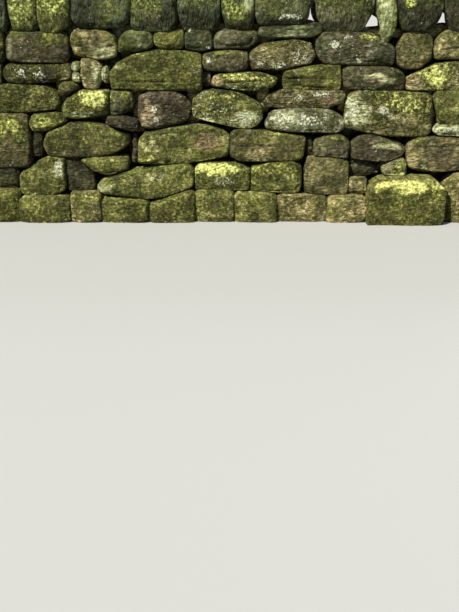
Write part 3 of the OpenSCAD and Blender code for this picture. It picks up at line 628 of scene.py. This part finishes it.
def join(name, points, stones, colour, growth_and_shade):
    """A joined mesh object with smooth faces, from the stones' quads and tails, and its attributes."""
    quads, tails, offset = [], [], 0
    for stone in stones:
        quads.append(stone["quads"] + offset)
        if stone["tail"] is not None:
            tails.append(stone["tail"] + offset)
        offset += len(stone["points"])
    quads = np.vstack(quads)
    loops = np.concatenate([quads.ravel()] + tails)
    sizes = np.concatenate([np.full(len(quads), 4), [len(tail) for tail in tails]]).astype(int)
    starts = np.concatenate([[0], np.cumsum(sizes)[:-1]])
    mesh = bpy.data.meshes.new(name)
    mesh.vertices.add(len(points))
    mesh.vertices.foreach_set("co", points.astype(np.float32).ravel())
    mesh.loops.add(len(loops))
    mesh.loops.foreach_set("vertex_index", loops.astype(np.int32))
    mesh.polygons.add(len(sizes))
    mesh.polygons.foreach_set("loop_start", starts.astype(np.int32))
    mesh.polygons.foreach_set("use_smooth", np.ones(len(sizes), bool))
    mesh.update(calc_edges=True)
    mesh.validate()
    for title, values in (("stone_colour", colour), ("growth_and_shade", growth_and_shade)):
        rgba = np.ones((len(points), 4), np.float32)
        rgba[:, :values.shape[1]] = values
        attribute = mesh.attributes.new(title, "FLOAT_COLOR", "POINT")
        attribute.data.foreach_set("color", rgba.ravel())
    piece = bpy.data.objects.new(name, mesh)
    bpy.context.scene.collection.objects.link(piece)
    return piece


def stand_in(piece, node, slot):
    """Makes a piece stand for a CAD node, with the finish of a material slot."""
    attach(piece, "root")
    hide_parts(node)
    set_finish(piece, slot)
    pieces[piece.name] = piece


def triangle_count():
    """Triangles in all the pieces so far, counting a face of n corners as n - 2."""
    return sum(len(piece.data.loops) - 2 * len(piece.data.polygons) for piece in pieces.values())


print("pieces so far:", len(pieces))

# %% Dressing a node
MIRROR = np.array([1.0, -1.0, 1.0])
# How the radius of the worn edges and the lightness of the tones vary from stone to stone
RADIUS_SPREAD, TONE_SPREAD = (0.6, 1.5), (0.85, 1.15)
# A cut foot fades out over this height. A whole foot is cut by nothing.
FOOT_FADE, WHOLE_FOOT = 0.04, (0.0, 1.0)


def mirrored(block):
    """The block on the other side of the wall's middle plane, which turns its face to the front."""
    corners = block["corners"] * MIRROR
    return {"low": corners.min(axis=0), "high": corners.max(axis=0), "corners": corners,
            "normals": block["normals"] * MIRROR, "distances": block["distances"]}


def dress(node, name, slot, finishes, cell, radius, two_faced=False, side_cell=0.012, seed=0,
          with_marks=False, belly=0.0, cut_foot=WHOLE_FOOT):
    """Replaces a CAD node by its weathered stones. finishes has a row of the table for each block. belly
    widens a stone along the wall, most at half its depth. cut_foot is how far the left side of its foot
    is drawn in at the back, and the height where that ends."""
    dice = np.random.default_rng(seed)
    behind = node.startswith("back")
    stones = []
    for block, finish in zip(blocks_of(node), finishes):
        tone, moss, lichen, set_back, coarse = finish + USUAL[len(finish):]
        worn = radius * dice.uniform(*RADIUS_SPREAD)
        shape = mirrored(block) if behind else block
        points, outward, depth, rim, quads, tail = worn_stone(shape, cell, worn, dice, two_faced, side_cell)
        if behind:
            points, outward = points * MIRROR, outward * MIRROR
            quads, tail = quads[:, ::-1], tail[::-1]
        away = (points[:, 1] - points[:, 1].min()) / np.ptp(points[:, 1]) * 2.0 - 1.0
        points[:, 0] += belly * outward[:, 0] * (1.0 - away ** 2)
        points[:, 1] += set_back * (-1.0 if behind else 1.0)
        to_left = (points[:, 0].max() - points[:, 0]) / np.ptp(points[:, 0])
        foot = 1.0 - ramp(points[:, 2], cut_foot[1] - FOOT_FADE, cut_foot[1])
        points[:, 0] += cut_foot[0] * foot * to_left * (1.0 + away) / 2.0
        count = len(points)
        stones.append({
            "points": points, "outward": outward, "depth": depth, "rim": rim, "quads": quads, "tail": tail,
            "tone_a": np.tile(TONES[tone][0], (count, 1)) * dice.uniform(*TONE_SPREAD),
            "tone_b": np.tile(TONES[tone][1], (count, 1)) * dice.uniform(*TONE_SPREAD),
            "moss": np.full(count, moss), "lichen": np.full(count, lichen),
            "seed": np.full(count, dice.uniform(0.0, 9.0)), "bedded": np.full(count, dice.random() ** 1.5),
            "coarse": np.full(count, coarse),
        })
    points, colour, growth_and_shade = weathered(stones, with_marks)
    points = np.clip(points, cad_box[0], cad_box[1])
    stand_in(join(name, points, stones, colour, growth_and_shade), node, slot)


print("the sample stone's face, mirrored, lies at y", round(mirrored(sample)["high"][1], 3))

# %% [markdown]
# ## The facing stones
# The front is what the photograph shows, so it has the finest cells and the patches. The back repeats
# the same stones and finishes with other random numbers, because it wasn't seen.

# %% Facing stones
CELL_FRONT, CELL_BACK = 0.0075, 0.0098
FACING_RADIUS = 0.0032
# Blocks whose middles lie further from the wall's middle than this are beside the wall heads
DRAWN_END = 1.36


def course_finishes(node, row):
    """One finish for each block of a course: the table's for the drawn stones, and one from the spare
    finishes for each block beyond them, beside the wall heads."""
    blocks = blocks_of(node)
    beside = [abs(block["low"][0] + block["high"][0]) / 2.0 > DRAWN_END for block in blocks]
    table = iter(FINISHES[row])
    return [OTHER_FINISHES[k % len(OTHER_FINISHES)] if out else next(table) for k, out in enumerate(beside)]


for k, row in enumerate(["footing"] + [f"course_{number}" for number in range(1, 8)]):
    slot = "footing_stones" if row == "footing" else "facing_stones"
    finishes = course_finishes(f"front_{row}", row)
    dress(f"front_{row}", f"front_{row}_stones", slot, finishes, CELL_FRONT, FACING_RADIUS, seed=100 + k,
          with_marks=True)
    dress(f"back_{row}", f"back_{row}_stones", slot, finishes, CELL_BACK, FACING_RADIUS, seed=200 + k)
print("triangles in the two faces:", triangle_count())

# %% [markdown]
# ## Through stones, wall heads and cope
# These stones show on more than one side, so their nets close with a second face and have even rings
# all the way. The cope stones are rounder: they are chosen as found, and take the worst of the weather.
# A little daylight shows between some of their feet. Those stones keep straight sides, and two have the
# foot drawn in towards the back, which leaves their fronts as they are.

# %% Through stones, heads and cope
CELL_HEAD, CELL_COPE = 0.0115, 0.0090
# The cells along the sides, from front to back
SIDE_THROUGH, SIDE_HEAD, SIDE_COPE = 0.03, 0.013, 0.014
HEAD_RADIUS, COPE_RADIUS, BELLY = 0.003, 0.005, 0.012
# Cope stones with straight sides, and how far the feet of two of them are cut and up to which height
STRAIGHT_COPES = range(10, 15)
CUT_FEET = {12: (0.07, 1.097), 14: (0.09, 1.125)}
for k, finish in enumerate(FINISHES["through"]):
    dress(f"through_stone_{k + 1}", f"through_stone_{k + 1}_worn", "through_stones", [finish], CELL_FRONT,
          FACING_RADIUS, True, SIDE_THROUGH, seed=300 + k, with_marks=True)
for k, side in enumerate(("left", "right")):
    node = f"{side}_wall_head"
    spare = [OTHER_FINISHES[(j * 3 + k) % len(OTHER_FINISHES)] for j in range(len(blocks_of(node)))]
    dress(node, f"{side}_head_stones", "head_stones", spare, CELL_HEAD, HEAD_RADIUS, True, SIDE_HEAD,
          seed=320 + k)
for number, finish in enumerate(FINISHES["cope"], 1):
    dress(f"cope_stone_{number:02d}", f"cope_stone_{number:02d}_worn", "cope_stones", [finish], CELL_COPE,
          COPE_RADIUS, True, SIDE_COPE, seed=339 + number, with_marks=True,
          belly=0.0 if number in STRAIGHT_COPES else BELLY, cut_foot=CUT_FEET.get(number, WHOLE_FOOT))
print("triangles so far:", triangle_count())

# %% [markdown]
# ## Hearting
# The core is packed by hand with small broken stones. Only glimpses of it show, in the joints and under
# the cope, so each stone is a coarse rounded lump: a cube of two cells a side pushed towards a ball and
# jittered. Hundreds of them fill the core's CAD blocks as two layers, one behind each face. More of them
# pack the gaps beside the through stones and stand as pins under the joints of the cope.

# %% Hearting
# A lump's usual size, the points on it, how much of a ball its shape has, and how large that ball is
LUMP_WIDE, LUMP_TALL, LUMP_POINTS, BALL_SHARE, BALL_SIZE = 0.095, 0.072, 26, 0.35, 1.3
# How the sizes of lumps and packing stones, the points of a lump and its lightness vary
LUMP_SPREAD, PACKING_SPREAD, POINT_SPREAD, TINT_SPREAD = (0.92, 1.1), (0.9, 1.1), (0.86, 1.04), (1.2, 2.2)
# How far beside a through stone its packing lies and how far it rises past its top, one step up it, half
# a packing stone's size, and its places from front to back
PACKING_OUT, PACKING_RISE, PACKING_STEP, PACKING_HALF = 0.008, 0.02, 0.05, (0.034, 0.045, 0.036)
PACKING_ROWS = (-0.11, -0.03, 0.05, 0.13)
# Height of the pins under each cope joint, their places along and across the wall, and half their size
PIN_HEIGHT, PIN_ALONG, PIN_ROWS, PIN_HALF = 0.995, (-0.07, 0.0, 0.07), (-0.06, 0.03, 0.11), (0.05, 0.056)
# Joints with daylight over their pins, counted from the left, and half the height of those pins
OPEN_PINS = {10: 0.026, 11: 0.018, 12: 0.026, 13: 0.040}
# How deep in shade the core lies, from 0 to 1
CORE_SHADE = 0.3


def lump_form():
    """The 26 surface points of a cube with two cells along each edge, on a shape between that cube and
    a ball, and its 24 quads with outward corners."""
    grid = np.stack(np.meshgrid(*[(-1, 0, 1)] * 3, indexing="ij"), axis=-1).reshape(-1, 3)
    outer = np.abs(grid).max(axis=1) == 1
    number = np.full(27, -1)
    number[outer] = np.arange(LUMP_POINTS)
    number = number.reshape(3, 3, 3)
    quads = []
    for axis in range(3):
        for end in (0, 2):
            sheet = np.moveaxis(number, axis, 0)[end]
            cells = np.stack([sheet[:-1, :-1], sheet[1:, :-1], sheet[1:, 1:], sheet[:-1, 1:]], axis=-1)
            outward = (end == 2) == (axis != 1)
            quads.append(cells.reshape(-1, 4)[:, ::1 if outward else -1])
    form = grid[outer].astype(float)
    ball = form / np.linalg.norm(form, axis=1, keepdims=True)
    return (1.0 - BALL_SHARE) * form + BALL_SHARE * ball * BALL_SIZE, np.vstack(quads)


def hearting_lumps(block, dice):
    """Middles and half sizes of the lumps in one block of hearting: cells of a grid over its front, in
    two layers, each as deep as half the core is at that height."""
    low, high = block["low"], block["high"]
    wide = max(1, round((high[0] - low[0]) / LUMP_WIDE))
    tall = max(1, round((high[2] - low[2]) / LUMP_TALL))
    column, row, layer = (a.ravel() for a in np.meshgrid(np.arange(wide), np.arange(tall), (-1, 1)))
    size = np.array([(high[0] - low[0]) / wide, 0.0, (high[2] - low[2]) / tall])
    z = low[2] + (row + 0.5) * size[2]
    front = block["normals"][:, 1].argmin()
    normal, distance = block["normals"][front], block["distances"][front]
    core = -(distance - normal[2] * (z + size[2] / 2.0)) / normal[1]
    shift = 0.25 * layer + 0.25 * (row % 2)
    middles = np.stack([low[0] + (column + 0.5 + shift) * size[0], layer * core / 2.0, z], axis=1)
    halves = np.stack([np.full(len(z), size[0] / 2.0), core / 2.0, np.full(len(z), size[2] / 2.0)], axis=1)
    middles[:, 0] = np.clip(middles[:, 0], low[0] + halves[:, 0], high[0] - halves[:, 0])
    return middles, halves * dice.uniform(*LUMP_SPREAD, halves.shape)


def packing_lumps(dice):
    """Middles and half sizes of the packing driven in beside each through stone, at both its ends and
    in four rows from front to back, and of the pins under the joints between the cope stones."""
    middles, halves = [], []
    for number in range(1, len(FINISHES["through"]) + 1):
        block = blocks_of(f"through_stone_{number}")[0]
        for end in (block["low"][0] - PACKING_OUT, block["high"][0] + PACKING_OUT):
            for z in np.arange(block["low"][2], block["high"][2] + PACKING_RISE, PACKING_STEP):
                for y in PACKING_ROWS:
                    middles.append((end, y, z))
                    halves.append(PACKING_HALF)
    wide, tall = PIN_HALF
    copes = [blocks_of(f"cope_stone_{number:02d}")[0] for number in range(1, len(FINISHES["cope"]) + 1)]
    for number, (left, right) in enumerate(zip(copes[:-1], copes[1:]), 1):
        for along in PIN_ALONG:
            for y in PIN_ROWS:
                middles.append(((left["high"][0] + right["low"][0]) / 2.0 + along, y, PIN_HEIGHT))
                halves.append((wide, wide, OPEN_PINS.get(number, tall)))
    return np.array(middles), np.array(halves) * dice.uniform(*PACKING_SPREAD, (len(halves), 3))


form, form_quads = lump_form()
dice = np.random.default_rng(41)
lumps = [hearting_lumps(block, dice) for block in blocks_of("hearting")] + [packing_lumps(dice)]
middles, halves = (np.concatenate(part) for part in zip(*lumps))
count = len(middles)
lumps = form[None] * dice.uniform(*POINT_SPREAD, (count, LUMP_POINTS, 1))
lumps = np.clip((middles[:, None] + lumps * halves[:, None]).reshape(-1, 3), cad_box[0], cad_box[1])
numbers = (form_quads[None] + LUMP_POINTS * np.arange(count)[:, None, None]).reshape(-1, 4)
tints = np.array([TONES[name][1] for name in ("brown", "tan", "grey", "purple")])
tints = tints[dice.integers(0, 4, count)] * dice.uniform(*TINT_SPREAD, (count, 1))
growth_and_shade = np.zeros((len(lumps), 4))
growth_and_shade[:, 2] = CORE_SHADE
rubble = join("hearting_rubble", lumps, [{"quads": numbers, "tail": None, "points": lumps}],
              np.repeat(tints, LUMP_POINTS, axis=0), growth_and_shade)
stand_in(rubble, "hearting", "hearting")
print("hearting lumps:", count, "triangles in all:", triangle_count())

# %% [markdown]
# ## Shared effects
# Three effects appear on every stone: the grit's own grain, moss and lichen. Each is a node group,
# built once. It takes the colour so far, and past the grain the bump height too, and hands back new ones,
# so the material can chain them. All of them read Object coordinates, which stay put on a piece at the
# origin.

# %% Shader helpers
COLOUR, FLOAT = "NodeSocketColor", "NodeSocketFloat"


def group(name, results, **inputs):
    """A new shader node group, the sockets that its nodes read and those that they feed. An input with
    four numbers is a colour, and so is the result named Colour. All others are floats."""
    tree = bpy.data.node_groups.new(name, "ShaderNodeTree")
    for title, default in inputs.items():
        kind = COLOUR if isinstance(default, tuple) else FLOAT
        tree.interface.new_socket(title, in_out="INPUT", socket_type=kind).default_value = default
    for title in results:
        kind = COLOUR if title == "Colour" else FLOAT
        tree.interface.new_socket(title, in_out="OUTPUT", socket_type=kind)
    return tree, tree.nodes.new("NodeGroupInput").outputs, tree.nodes.new("NodeGroupOutput").inputs


def feed(tree, sockets, **values):
    """Links each named socket to the socket given for it, or sets it to the value given. In a name, _
    is a space, and _2 means the third socket."""
    for title, value in values.items():
        socket = sockets[int(title[1:]) if title[1:].isdigit() else title.replace("_", " ")]
        if isinstance(value, bpy.types.NodeSocket):
            tree.links.new(value, socket)
        else:
            socket.default_value = value


def add(tree, kind, settings=(), **inputs):
    """A new node with its settings and its inputs."""
    node = tree.nodes.new(kind)
    for title, value in dict(settings).items():
        setattr(node, title, value)
    feed(tree, node.inputs, **inputs)
    return node


def noise_of(tree, scale, detail=4.0, roughness=0.6, stretch=(1.0, 1.0, 1.0)):
    """Noise texture on Object coordinates, stretched along the axes. The scale is in features a metre."""
    place = add(tree, "ShaderNodeTexCoord")
    mapping = add(tree, "ShaderNodeMapping", Vector=place.outputs["Object"], Scale=stretch)
    noise = add(tree, "ShaderNodeTexNoise", Vector=mapping.outputs["Vector"], Scale=scale, Detail=detail,
                Roughness=roughness)
    return noise.outputs["Fac"]


def maths(tree, operation, *values):
    """One Math node's result."""
    inputs = {f"_{k}": value for k, value in enumerate(values)}
    return add(tree, "ShaderNodeMath", {"operation": operation}, **inputs).outputs["Value"]


def times_plus(tree, value, times, plus):
    """value * times + plus"""
    return maths(tree, "MULTIPLY_ADD", value, times, plus)


def between(tree, value, low, high):
    """0 where value is low, 1 where it is high, and a soft step between."""
    node = add(tree, "ShaderNodeMapRange", {"interpolation_type": "SMOOTHSTEP"}, Value=value, From_Min=low,
               From_Max=high)
    return node.outputs["Result"]


def vectors(tree, operation, **inputs):
    """One Vector Math node's result."""
    return add(tree, "ShaderNodeVectorMath", {"operation": operation}, **inputs).outputs["Vector"]


def mixed(tree, weight, first, second, how="MIX"):
    """Two colours mixed by a weight."""
    settings = {"data_type": "RGBA", "blend_type": how}
    return add(tree, "ShaderNodeMix", settings, _0=weight, _6=first, _7=second).outputs[2]


def colour_ramp(tree, value, *stops):
    """A colour for each value, from stops given as a position and a colour, lowest first."""
    node = add(tree, "ShaderNodeValToRGB", Fac=value)
    elements = node.color_ramp.elements
    for element, (position, colour) in zip((elements[0], elements[1]), (stops[0], stops[-1])):
        element.position, element.color = position, colour
    for position, colour in stops[1:-1]:
        elements.new(position).color = colour
    return node.outputs["Color"]


print("socket kinds:", COLOUR, FLOAT)

# %% [markdown]
# ### Grit grain
# Gritstone is coarse sand pressed to rock. Close up it is a speckle of pale quartz and dark grains, with
# faint streaks along its bedding. Noise makes the grains, a Voronoi texture some pale specks, and noise
# squeezed across the beds the streaks. Beds lie flat in the courses and stand upright in the cope
# stones, which are set on edge. Pale grains are greyer than the stone and dark ones browner.

# %% Grain group
WHITE = (1.0, 1.0, 1.0, 1.0)
FLAT_BEDS, UPRIGHT_BEDS = (0.7, 0.7, 1.5, 1.0), (1.5, 0.7, 0.7, 1.0)
tree, given, made = group("grit_grain", ("Colour", "Height"), Colour=WHITE, Grain=0.5, Streaks=0.3,
                          Beds=FLAT_BEDS)
beds = given["Beds"]
grit = between(tree, noise_of(tree, 68.0, 5.0, 0.75, beds), 0.32, 0.70)
blotch = noise_of(tree, 34.0, 4.0, 0.6, beds)
streak = noise_of(tree, 30.0, 4.0, 0.7, vectors(tree, "MULTIPLY", _0=beds, _1=beds))
pits = noise_of(tree, 52.0, 3.0, 0.5, beds)
place = add(tree, "ShaderNodeTexCoord")
specks = add(tree, "ShaderNodeTexVoronoi", Vector=place.outputs["Object"], Scale=190.0)
speck = between(tree, specks.outputs["Distance"], 0.42, 0.16)
light = times_plus(tree, grit, 2.0, 0.1)
light = maths(tree, "MULTIPLY", light, times_plus(tree, blotch, 1.6, 0.2))
light = times_plus(tree, speck, 0.2, light)
drift = maths(tree, "MULTIPLY", maths(tree, "SUBTRACT", streak, 0.5), given["Streaks"])
light = times_plus(tree, drift, 1.6, light)
light = times_plus(tree, maths(tree, "SUBTRACT", light, 1.0), given["Grain"], 1.0)
light = maths(tree, "MAXIMUM", light, 0.15)
blue = maths(tree, "POWER", light, 1.4)
factor = add(tree, "ShaderNodeCombineColor", Red=light, Green=light, Blue=blue)
height = times_plus(tree, pits, 1.6, maths(tree, "MULTIPLY", blotch, 0.8))
height = times_plus(tree, grit, 0.12, times_plus(tree, streak, 0.8, height))
feed(tree, made, Colour=mixed(tree, 1.0, given["Colour"], factor.outputs["Color"], "MULTIPLY"),
     Height=height)
grain_group = tree
print("grain nodes:", len(tree.nodes))

# %% [markdown]
# ### Moss
# Moss grows as a ragged film on the sides and thickens to cushions on ledges. Its amount comes from the
# mesh. Noise breaks up its edge. A slower noise and one for its tufts turn it from dark bottle green to
# yellow green, and the tufts are a soft nap in the bump. They differ more in colour on a coarser stone.

# %% Moss group
tree, given, made = group("moss", ("Colour", "Height", "Mask"), Colour=WHITE, Height=0.0, Amount=0.5,
                          Fresh=0.5, Coarse=1.0)
edge = noise_of(tree, 55.0, 6.0, 0.75)
tufts = between(tree, noise_of(tree, 62.0, 5.0, 0.72), 0.28, 0.74)
bands = noise_of(tree, 22.0, 3.0, 0.6)
reach = times_plus(tree, maths(tree, "SUBTRACT", edge, 0.5), 2.2, given["Amount"])
mask = between(tree, reach, 0.25, 0.8)
tone = times_plus(tree, given["Fresh"], 0.7, maths(tree, "MULTIPLY", bands, 0.7))
gain = maths(tree, "MULTIPLY", given["Coarse"], 0.85)
tone = times_plus(tree, maths(tree, "SUBTRACT", tufts, 0.5), gain, maths(tree, "SUBTRACT", tone, 0.16))
green = colour_ramp(tree, tone, (0.05, (0.020, 0.022, 0.006, 1.0)), (0.33, (0.065, 0.069, 0.0185, 1.0)),
                    (0.62, (0.193, 0.196, 0.046, 1.0)), (1.0, (0.770, 0.765, 0.255, 1.0)))
nap = times_plus(tree, tufts, 0.7, maths(tree, "MULTIPLY", edge, 0.3))
feed(tree, made, Colour=mixed(tree, maths(tree, "MULTIPLY", mask, 0.9), given["Colour"], green),
     Height=times_plus(tree, mask, nap, given["Height"]), Mask=mask)
moss_group = tree
print("moss nodes:", len(tree.nodes))

# %% [markdown]
# ### Lichen
# Lichen is a thin pale crust in separate spots, a few millimetres to a few centimetres across. Voronoi
# cells give the spots: a spot fills its cell where the amount from the mesh is high. A second Voronoi
# texture adds single dots, only where some lichen grows. Noise turns the crust from grey green to pale
# cream.

# %% Lichen group
tree, given, made = group("lichen", ("Colour", "Height"), Colour=WHITE, Height=0.0, Amount=0.5)
place = add(tree, "ShaderNodeTexCoord")
wander = add(tree, "ShaderNodeTexNoise", Vector=place.outputs["Object"], Scale=70.0, Detail=3.0)
shift = vectors(tree, "SCALE", _0=wander.outputs["Color"], Scale=0.02)
moved = vectors(tree, "ADD", _0=place.outputs["Object"], _1=shift)
spots = add(tree, "ShaderNodeTexVoronoi", Vector=moved, Scale=84.0)
crust = noise_of(tree, 110.0, 5.0, 0.8)
amount = times_plus(tree, maths(tree, "SUBTRACT", crust, 0.5), 1.3, given["Amount"])
room = times_plus(tree, amount, 0.85, -0.1)
spot = between(tree, maths(tree, "SUBTRACT", room, spots.outputs["Distance"]), -0.04, 0.12)
dots = add(tree, "ShaderNodeTexVoronoi", Vector=moved, Scale=78.0)
chosen = add(tree, "ShaderNodeSeparateColor", Color=dots.outputs["Color"])
size = times_plus(tree, between(tree, chosen.outputs["Red"], 0.84, 1.0), 0.55, -0.12)
dot = between(tree, maths(tree, "SUBTRACT", size, dots.outputs["Distance"]), -0.03, 0.1)
dot = maths(tree, "MULTIPLY", dot, between(tree, given["Amount"], -0.04, 0.14))
mask = maths(tree, "MAXIMUM", spot, maths(tree, "MULTIPLY", dot, 0.6))
mask = maths(tree, "MULTIPLY", mask, 0.86)
pale = colour_ramp(tree, crust, (0.34, (0.150, 0.158, 0.082, 1.0)), (0.58, (0.640, 0.640, 0.470, 1.0)))
feed(tree, made, Colour=mixed(tree, mask, given["Colour"], pale),
     Height=times_plus(tree, mask, 0.5, given["Height"]))
lichen_group = tree
print("lichen nodes:", len(tree.nodes))

# %% [markdown]
# ## Materials
# Each kind of stone gets its own material with the same three groups and its own values. The stone's
# colour, how coarse it is, what grows on it and the painted shade of its joints come from the mesh
# attributes. That painted shade, with some dirt and wetness, darkens the sides of a stone in its joints.
# The Principled shader is rough throughout, and most so on moss.

# %% Materials
BUMP_STRENGTH, SHINE, STONE_ROUGHNESS, MOSS_ROUGHNESS = 0.85, 0.07, 0.88, 0.94
# The tints make the stones cooler. On the cope stones that is partly algae and partly painted sky light in
# shade; on the facing and through stones it is painted sky light.
FACING_TINT, COPE_TINT = (0.965, 1.0, 1.0, 1.0), (0.91, 1.0, 1.0, 1.0)


def stone_material(name, grain, streaks, bump, shade_and_damp, tint=WHITE, beds=FLAT_BEDS):
    """A gritstone material: grain, then moss, then lichen, over the colours stored in the mesh. bump is
    the height of the grain in metres, and shade_and_damp how much painted shade and wetness darken a joint."""
    material = bpy.data.materials.new(name)
    material.use_nodes = True
    tree = material.node_tree
    stored = add(tree, "ShaderNodeAttribute", {"attribute_name": "stone_colour"}).outputs
    grown_and_shade = add(tree, "ShaderNodeAttribute", {"attribute_name": "growth_and_shade"}).outputs
    parts = add(tree, "ShaderNodeSeparateColor", Color=grown_and_shade["Color"]).outputs
    coarse = stored["Alpha"]
    grit = add(tree, "ShaderNodeGroup", {"node_tree": grain_group}, Colour=stored["Color"],
               Grain=maths(tree, "MULTIPLY", coarse, grain), Streaks=streaks, Beds=beds).outputs
    moss = add(tree, "ShaderNodeGroup", {"node_tree": moss_group}, Colour=grit["Colour"],
               Height=grit["Height"], Amount=parts["Red"], Fresh=grown_and_shade["Alpha"], Coarse=coarse).outputs
    crust = add(tree, "ShaderNodeGroup", {"node_tree": lichen_group}, Colour=moss["Colour"],
                Height=moss["Height"], Amount=parts["Green"]).outputs
    # Painted shade, with some dirt and wetness, darkens the stone deeper in its joints.
    shade_and_soil = times_plus(tree, parts["Blue"], -shade_and_damp, 1.0)
    shaded_and_soiled = vectors(tree, "SCALE", _0=crust["Colour"], Scale=shade_and_soil)
    height = maths(tree, "MULTIPLY", crust["Height"], coarse)
    relief = add(tree, "ShaderNodeBump", Height=height, Strength=BUMP_STRENGTH, Distance=bump)
    rough = times_plus(tree, moss["Mask"], MOSS_ROUGHNESS - STONE_ROUGHNESS, STONE_ROUGHNESS)
    feed(tree, tree.nodes["Principled BSDF"].inputs, Base_Color=mixed(tree, 1.0, shaded_and_soiled, tint, "MULTIPLY"),
         Roughness=rough, Specular_IOR_Level=SHINE, Normal=relief.outputs["Normal"])
    return material


materials = {
    "facing_stones": stone_material("facing_gritstone", 0.65, 0.8, 0.012, 0.2, FACING_TINT),
    "through_stones": stone_material("through_gritstone", 0.65, 0.7, 0.012, 0.2, FACING_TINT),
    "footing_stones": stone_material("footing_gritstone", 0.75, 0.5, 0.012, 0.2),
    "cope_stones": stone_material("cope_gritstone", 0.55, 0.7, 0.012, 0.15, COPE_TINT, UPRIGHT_BEDS),
    "head_stones": stone_material("head_gritstone", 0.7, 0.8, 0.012, 0.2),
    "hearting": stone_material("hearting_stone", 0.7, 0.2, 0.005, 0.1),
}
for piece in pieces.values():
    piece.data.materials.append(materials[piece["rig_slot"]])
print("materials:", len(materials))

# %% [markdown]
# ## Floor and light
# The wall stands on a plain pale floor under a soft sky. A sun from the upper left gives the stones
# their form, as in the photograph. A large lamp behind the wall lights its back, and the world fills in
# the rest. The floor and the sky are pale only where the camera or a reflection looks at them, so that
# they throw no more light on the wall than they should.

# %% Floor and light
FLOOR_REACH = 60.0
FLOOR_LIT, FLOOR_SEEN = (0.16, 0.17, 0.12, 1.0), (0.315, 0.313, 0.305, 1.0)
SKY_LIT, SKY_SEEN = (0.36, 0.40, 0.47, 1.0), (0.90, 0.91, 0.92, 1.0)


def seen_colour(tree, lit, seen):
    """seen where the camera or a reflection looks, and lit for all other light."""
    path = add(tree, "ShaderNodeLightPath").outputs
    looking = maths(tree, "MAXIMUM", path["Is Camera Ray"], path["Is Glossy Ray"])
    return mixed(tree, maths(tree, "MAXIMUM", looking, path["Is Transmission Ray"]), lit, seen)


def lamp(name, kind, energy, colour, place, turn, **more):
    """A lamp at a place, turned by degrees about X, Y and Z from pointing down."""
    lamp_data = bpy.data.lights.new(name, kind)
    lamp_data.energy = energy
    lamp_data.color = colour
    for title, value in more.items():
        setattr(lamp_data, title, value)
    lamp_object = bpy.data.objects.new(name, lamp_data)
    lamp_object.location = place
    lamp_object.rotation_euler = [radians(angle) for angle in turn]
    bpy.context.scene.collection.objects.link(lamp_object)


corners = [(x * FLOOR_REACH, y * FLOOR_REACH, 0.0) for x, y in ((-1, -1), (1, -1), (1, 1), (-1, 1))]
floor_mesh = bpy.data.meshes.new("floor")
floor_mesh.from_pydata(corners, [], [(0, 1, 2, 3)])
floor = bpy.data.objects.new("floor", floor_mesh)
bpy.context.scene.collection.objects.link(floor)
floor_material = bpy.data.materials.new("pale_floor")
floor_material.use_nodes = True
floor_mesh.materials.append(floor_material)
tree = floor_material.node_tree
feed(tree, tree.nodes["Principled BSDF"].inputs, Base_Color=seen_colour(tree, FLOOR_LIT, FLOOR_SEEN),
     Roughness=0.9)

lamp("sun", "SUN", energy=8.2, colour=(1.0, 0.975, 0.87), place=(0.0, 0.0, 0.0), turn=(46.0, 0.0, -43.0),
     angle=radians(2.5))
lamp("back_fill", "AREA", energy=420.0, colour=(0.93, 0.96, 1.0), place=(3.5, 5.5, 4.5),
     turn=(58.468, 0.0, 147.529), size=3.5)

world = bpy.data.worlds.new("sky")
world.use_nodes = True
bpy.context.scene.world = world
tree = world.node_tree
feed(tree, tree.nodes["Background"].inputs, Color=seen_colour(tree, SKY_LIT, SKY_SEEN))
bpy.context.scene.view_settings.view_transform = "Standard"
print("lamps:", [light.name for light in bpy.data.lights])
